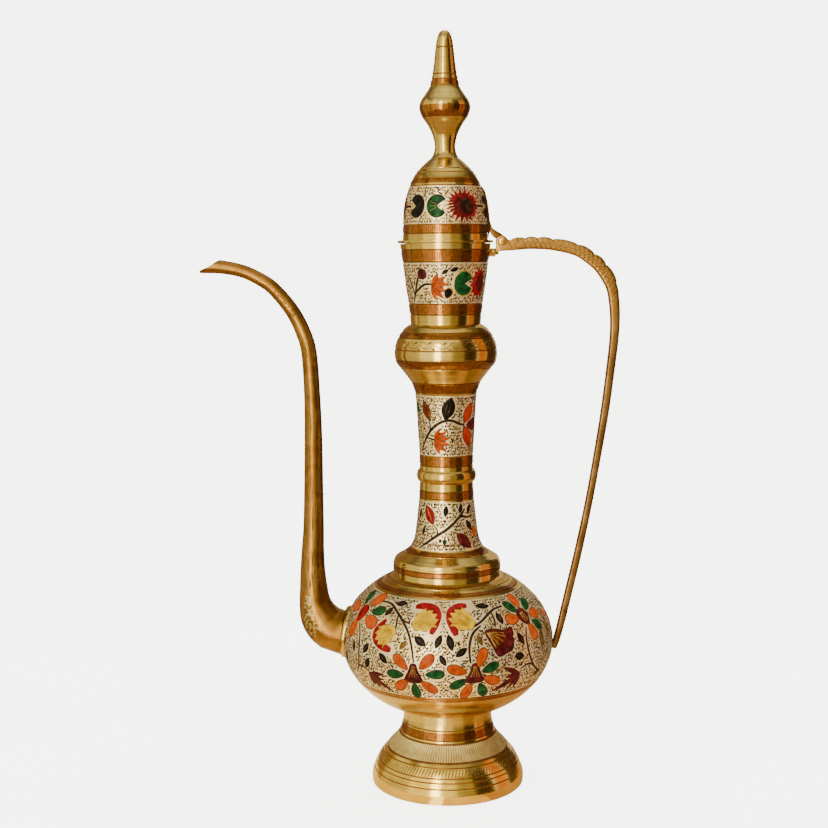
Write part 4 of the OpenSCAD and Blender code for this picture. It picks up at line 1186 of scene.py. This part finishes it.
for i in range(start, len(handle_line)):
    x, z, w = handle_line[i]
    dx, dz = handle_d[i]
    q = np.where(c > 0, w + lobe(i), w) * across
    chased = max(0.0, 1 - max(0.0, i / STEPS - LAST_LOBE) / 2) * min(1.0, (i - start) / 10)
    groove = np.clip(np.sin(2 * math.pi * (handle_run[i] / 2.4 + q / 4.2)), 0, 1) ** 1.5 * np.abs(beside) ** 4
    bar.append(np.stack([x - q * dz, bar_half(i) * beside * (1 - 0.06 * chased * groove), z + q * dx], 1))
for share, out in ((0.85, 0.5), (0.55, 0.85), (0.05, 1.0)):
    q, t = share * w * across, share * 0.8 * HALF_T
    bar.append(np.stack([x + out * dx - q * dz, t * beside, z + out * dz + q * dx], 1))
first = len(handle.verts)
handle.grid(np.array(bar), wrap=True)
last = len(handle.verts) - 1
handle.faces += [range(first, first + SECTION), range(last, last - SECTION, -1)]
handle.piece("handle_bar", "cast", "vessel", "cast_brass", "handle", 38)

# Slanting cuts on both sides of the bar
hatch = Patch()
t = np.linspace(0, 1, 9)[None, :]
k = np.array([-1, 0, 1])[:, None]
off = 0.2 * k * (1 - (2 * t - 1) ** 2)
for i in range(start + 8, LAST_LOBE * STEPS, 4):
    j = i + 9 * (t - 0.5) + 0 * k
    x, z, w, dx, dz = bent(handle_line, j)
    q = w * (1.3 * t - 0.65)
    thick = bar_half(j) * (1 - (q / w) ** 4) ** 0.25 + np.where(k == 0, 0.05, -0.04)
    for side in (-1, 1):
        hatch.grid(np.stack([x + dx * off - q * dz, side * thick, z + dz * off + q * dx], -1))
hatch.piece("handle_hatching", "chase", "vessel", "cast_brass")


# Pins with domed heads
def pin(node, x, z, r, length, head_r, head_h):
    end = length / 2
    head = [
        (head_r * math.cos(a), end + 0.34 * head_h + 0.66 * head_h * math.sin(a))
        for a in np.radians(np.arange(-25, 90, 8))
    ]
    half = [(r, 0), (r, end), (0.9 * head_r, end + 0.02)] + head + [(0, end + head_h)]
    outline = [(a, -b) for a, b in half[::-1]] + half[1:]
    turn = circle(48)
    verts = [(x + a * math.cos(t), b, z + a * math.sin(t)) for a, b in outline for t in turn]
    faces = grid_faces(len(outline), len(turn), wrap=True)
    make(node + "_headed", verts, faces, ["gold"], "vessel", node)


pin("hinge_pin", PIN_X, PIN_Z, 1.0, 5.0, 2.1, 1.1)
pin("handle_pin", LUG_X, LUG_Z, 0.8, 4.4, 1.3, 1.7)

# Strap: a leaf on the dome, a web and an eye on the hinge pin
LEAF_LOW, LEAF_TOP, LEAF_HALF, LEAF_T = 1.2, 25.6, 3.6, 1.1
WEB_H, WEB_HALF, EYE_BORE = 12, 1, 1.06
strap = Patch()
skin = Skin(dome_line)
k = np.linspace(-1, 1, 17)
profile = np.clip(1.2 - np.abs(k) ** 6 * 1.2, 0, 1) * LEAF_T
rows = []
low, high = skin.run_at(DOME_Z + LEAF_LOW), skin.run_at(DOME_Z + LEAF_TOP)
for t in np.linspace(0, 1, 45):
    half = LEAF_HALF * max(0.01, 1 - (2 * t - 1) ** 2)
    rise = profile * min(1, 6 * min(t, 1 - t) + 0.15) - 0.08 * (np.abs(k) < 0.1)
    rise[[0, -1]] = 0
    run = np.full(len(k), low + (high - low) * t)
    rows.append(skin.place(math.pi / 2 + k * half / skin.at(run)[0], run, rise))
strap.grid(np.array(rows))
web = fitted([
    (0.055, 1), (0.156, 0.692), (0.312, 0.467), (0.625, 0.35), (0.906, 0.267), (1.141, 0.167),
    (1.1, 0.1), (0.75, 0.02), (0.484, 0.075), (0.25, 0.208), (0.094, 0.35), (0.031, 0.433),
], LID_R, PIN_X, DOME_Z, WEB_H)
strap.plate(web, -WEB_HALF, WEB_HALF, 0.2)
eye = [(EYE_BORE, -1), (2.65, -1), (2.85, -0.8), (2.85, 0.8), (2.65, 1), (EYE_BORE, 1), (EYE_BORE, -1)]
strap.grid(np.array([
    [(PIN_X + r * math.cos(t), y, PIN_Z + r * math.sin(t)) for t in circle(48)] for r, y in eye
]), wrap=True)
# The strap's darker brass is painted shade on its thin side.
strap.piece("lid_strap_leaf", "strap", "lid", "cast_brass", "lid_strap", 38)

# Solids that stay as they are, with their finish
for node, mat in (("cup_lug", "cast"), ("lid_spigot", "brass"), ("finial_washer", "brass")):
    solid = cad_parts[node]
    solid.data.materials.clear()
    solid.data.materials.append(MATS[mat])
    ease = solid.modifiers.new("eased_edges", "BEVEL")
    ease.width, ease.segments, ease.limit_method = 0.00025, 2, "ANGLE"


# Floor and reflecting cards, in metres
def stage_piece(name, verts, faces, mat):
    mesh = bpy.data.meshes.new(name)
    mesh.from_pydata(verts, [], faces)
    mesh.materials.append(mat)
    piece = bpy.data.objects.new(name, mesh)
    bpy.context.scene.collection.objects.link(piece)
    piece.visible_diffuse = piece.visible_shadow = False
    return piece


def card(name, verts, faces, low, high, power):
    """A glowing card around the part that only polished surfaces see."""
    name = "card_" + name
    stage_piece(name, verts, faces, card_paint(name, low, high, power)).visible_camera = False


def cards(edges, *rows):
    """Cards between two edges (radius, height); each row begins with a name and two angles from the front."""
    for name, a0, a1, *look in rows:
        n = max(2, (a1 - a0) // 6)
        turn = np.radians(np.linspace(a0, a1, n + 1))
        verts = [(r * math.sin(t), -r * math.cos(t), z) for r, z in edges for t in turn]
        card(name, verts, grid_faces(2, n + 1), *look)


def overhead(r0, r1, *rows):
    cards(((r0, OVERHEAD_Z), (r1, OVERHEAD_Z)), *rows)


FLOOR_FLAT, FLOOR_BEND, FLOOR_TOP, FLOOR_DROP = 2.4, 1.6, 6.0, 0.0003
CARD_R, CARD_LOW, CARD_TOP, OVERHEAD_Z = 1.3, -0.36, 1.25, 1.26
CARD_HALF, CARD_FLOOR_Z, FOOT_CARD_Z = 1.35, -0.37, -0.002
sweep = [(0.0, 0.0), (FLOOR_FLAT, 0.0)] + [
    (FLOOR_FLAT + FLOOR_BEND * math.sin(a), FLOOR_BEND - FLOOR_BEND * math.cos(a))
    for a in np.radians(np.arange(6, 91, 6))
] + [(FLOOR_FLAT + FLOOR_BEND, FLOOR_TOP)]
turn = circle(72)
floor = stage_piece(
    "floor", [(r * math.sin(t), r * math.cos(t), z - FLOOR_DROP) for r, z in sweep for t in turn],
    grid_faces(len(sweep), len(turn), wrap=True), floor_paint(),
)
floor.data.polygons.foreach_set("use_smooth", np.ones(len(floor.data.polygons), bool))
floor.visible_glossy = False
corners = [(x * CARD_HALF, y * CARD_HALF, CARD_FLOOR_Z) for x, y in ((-1, -1), (1, -1), (1, 1), (-1, 1))]
card("floor", corners, [(0, 1, 2, 3)], "806038", "9A7A4E", 0.44)
cards(
    ((CARD_R, CARD_LOW), (CARD_R, CARD_TOP)),
    ("far_left", -175, -120, "5A4428", "7A6040", 0.9), ("left", -120, -62, "969070", "B2AC8C", 1.2),
    ("near_left", -62, -28, "C6C09C", "DAD4B2", 1.75), ("slit", -26, -14, "FFF6E8", "FFFCF6", 11.0),
    ("front", -12, 12, "B4AA7C", "C8BE90", 1.2), ("half_dark", 12, 40, "766A44", "908458", 0.8),
    ("dark", 40, 72, "1C1008", "30200F", 0.45), ("warm", 76, 100, "A85E00", "BC7004", 0.75),
    ("right", 102, 150, "22160A", "402A14", 0.55), ("far_right", 152, 176, "8A7850", "A89468", 0.9),
)
cards(
    ((0.02, FOOT_CARD_Z), (0.13, FOOT_CARD_Z)),
    ("foot_left", -180, -17, "D4B668", "E2C882", 0.95), ("foot_slit", -17, -6, "F8ECCC", "FFF6DC", 3.0),
    ("foot_front", -6, 36, "CCAA5C", "DABC74", 0.95), ("foot_right", 36, 180, "A87A3C", "BA8E4C", 0.5),
)
overhead(0.01, 0.3, ("top_inner", -180, 180, "BAB6AA", "CAC6BA", 1.3))
overhead(0.3, 0.6, ("top_middle", -180, 180, "A6A296", "B6B2A6", 1.1))
overhead(0.6, 0.9, ("top_wide", -180, 180, "827E72", "928E82", 0.8))
overhead(0.9, 1.35, ("top_outer", 36, 292, "545046", "625E52", 0.5),
         ("top_front", -68, 36, "BAB294", "CAC2A6", 1.5))


# Light and camera
def area(name, place, target_z, size, size_y, power, colour):
    light = bpy.data.lights.new(name, "AREA")
    light.shape, light.size, light.size_y = "RECTANGLE", size, size_y
    light.energy, light.color = power, colour
    lamp = bpy.data.objects.new(name, light)
    lamp.location = place
    lamp.rotation_euler = (Vector((0, 0, target_z)) - Vector(place)).to_track_quat("-Z", "Y").to_euler()
    bpy.context.scene.collection.objects.link(lamp)


area("key", (-0.22, -1.9, 1.0), 0.18, 0.16, 1.5, 17, (1, 0.95, 0.86))
area("left", (-1.6, -0.9, 0.9), 0.18, 1.0, 1.2, 11, (0.98, 0.99, 1))
area("top", (0.3, 0.3, 2.0), 0.1, 1.4, 1.4, 14, (1, 0.99, 0.97))
world = bpy.data.worlds.new("studio")
bpy.context.scene.world = world
world.use_nodes = True
sky = world.node_tree.nodes["Background"]
sky.inputs["Color"].default_value = (1, 0.98, 0.95, 1)
sky.inputs["Strength"].default_value = 1.35

CAMERA_AT, CAMERA_DOWN, CAMERA_ROLL = (-0.0152, -0.6578, 0.2513), 6.358, -0.4
lens = bpy.data.cameras.new("camera")
lens.lens, lens.sensor_width, lens.dof.use_dof = 60.87, 36, False
lens.clip_start, lens.clip_end = 0.05, 50
camera = bpy.data.objects.new("camera", lens)
tilt = Matrix.Rotation(math.radians(90 - CAMERA_DOWN), 4, "X")
roll = Matrix.Rotation(math.radians(CAMERA_ROLL), 4, "Z")
camera.matrix_world = Matrix.Translation(CAMERA_AT) @ tilt @ roll
bpy.context.scene.collection.objects.link(camera)
bpy.context.scene.camera = camera
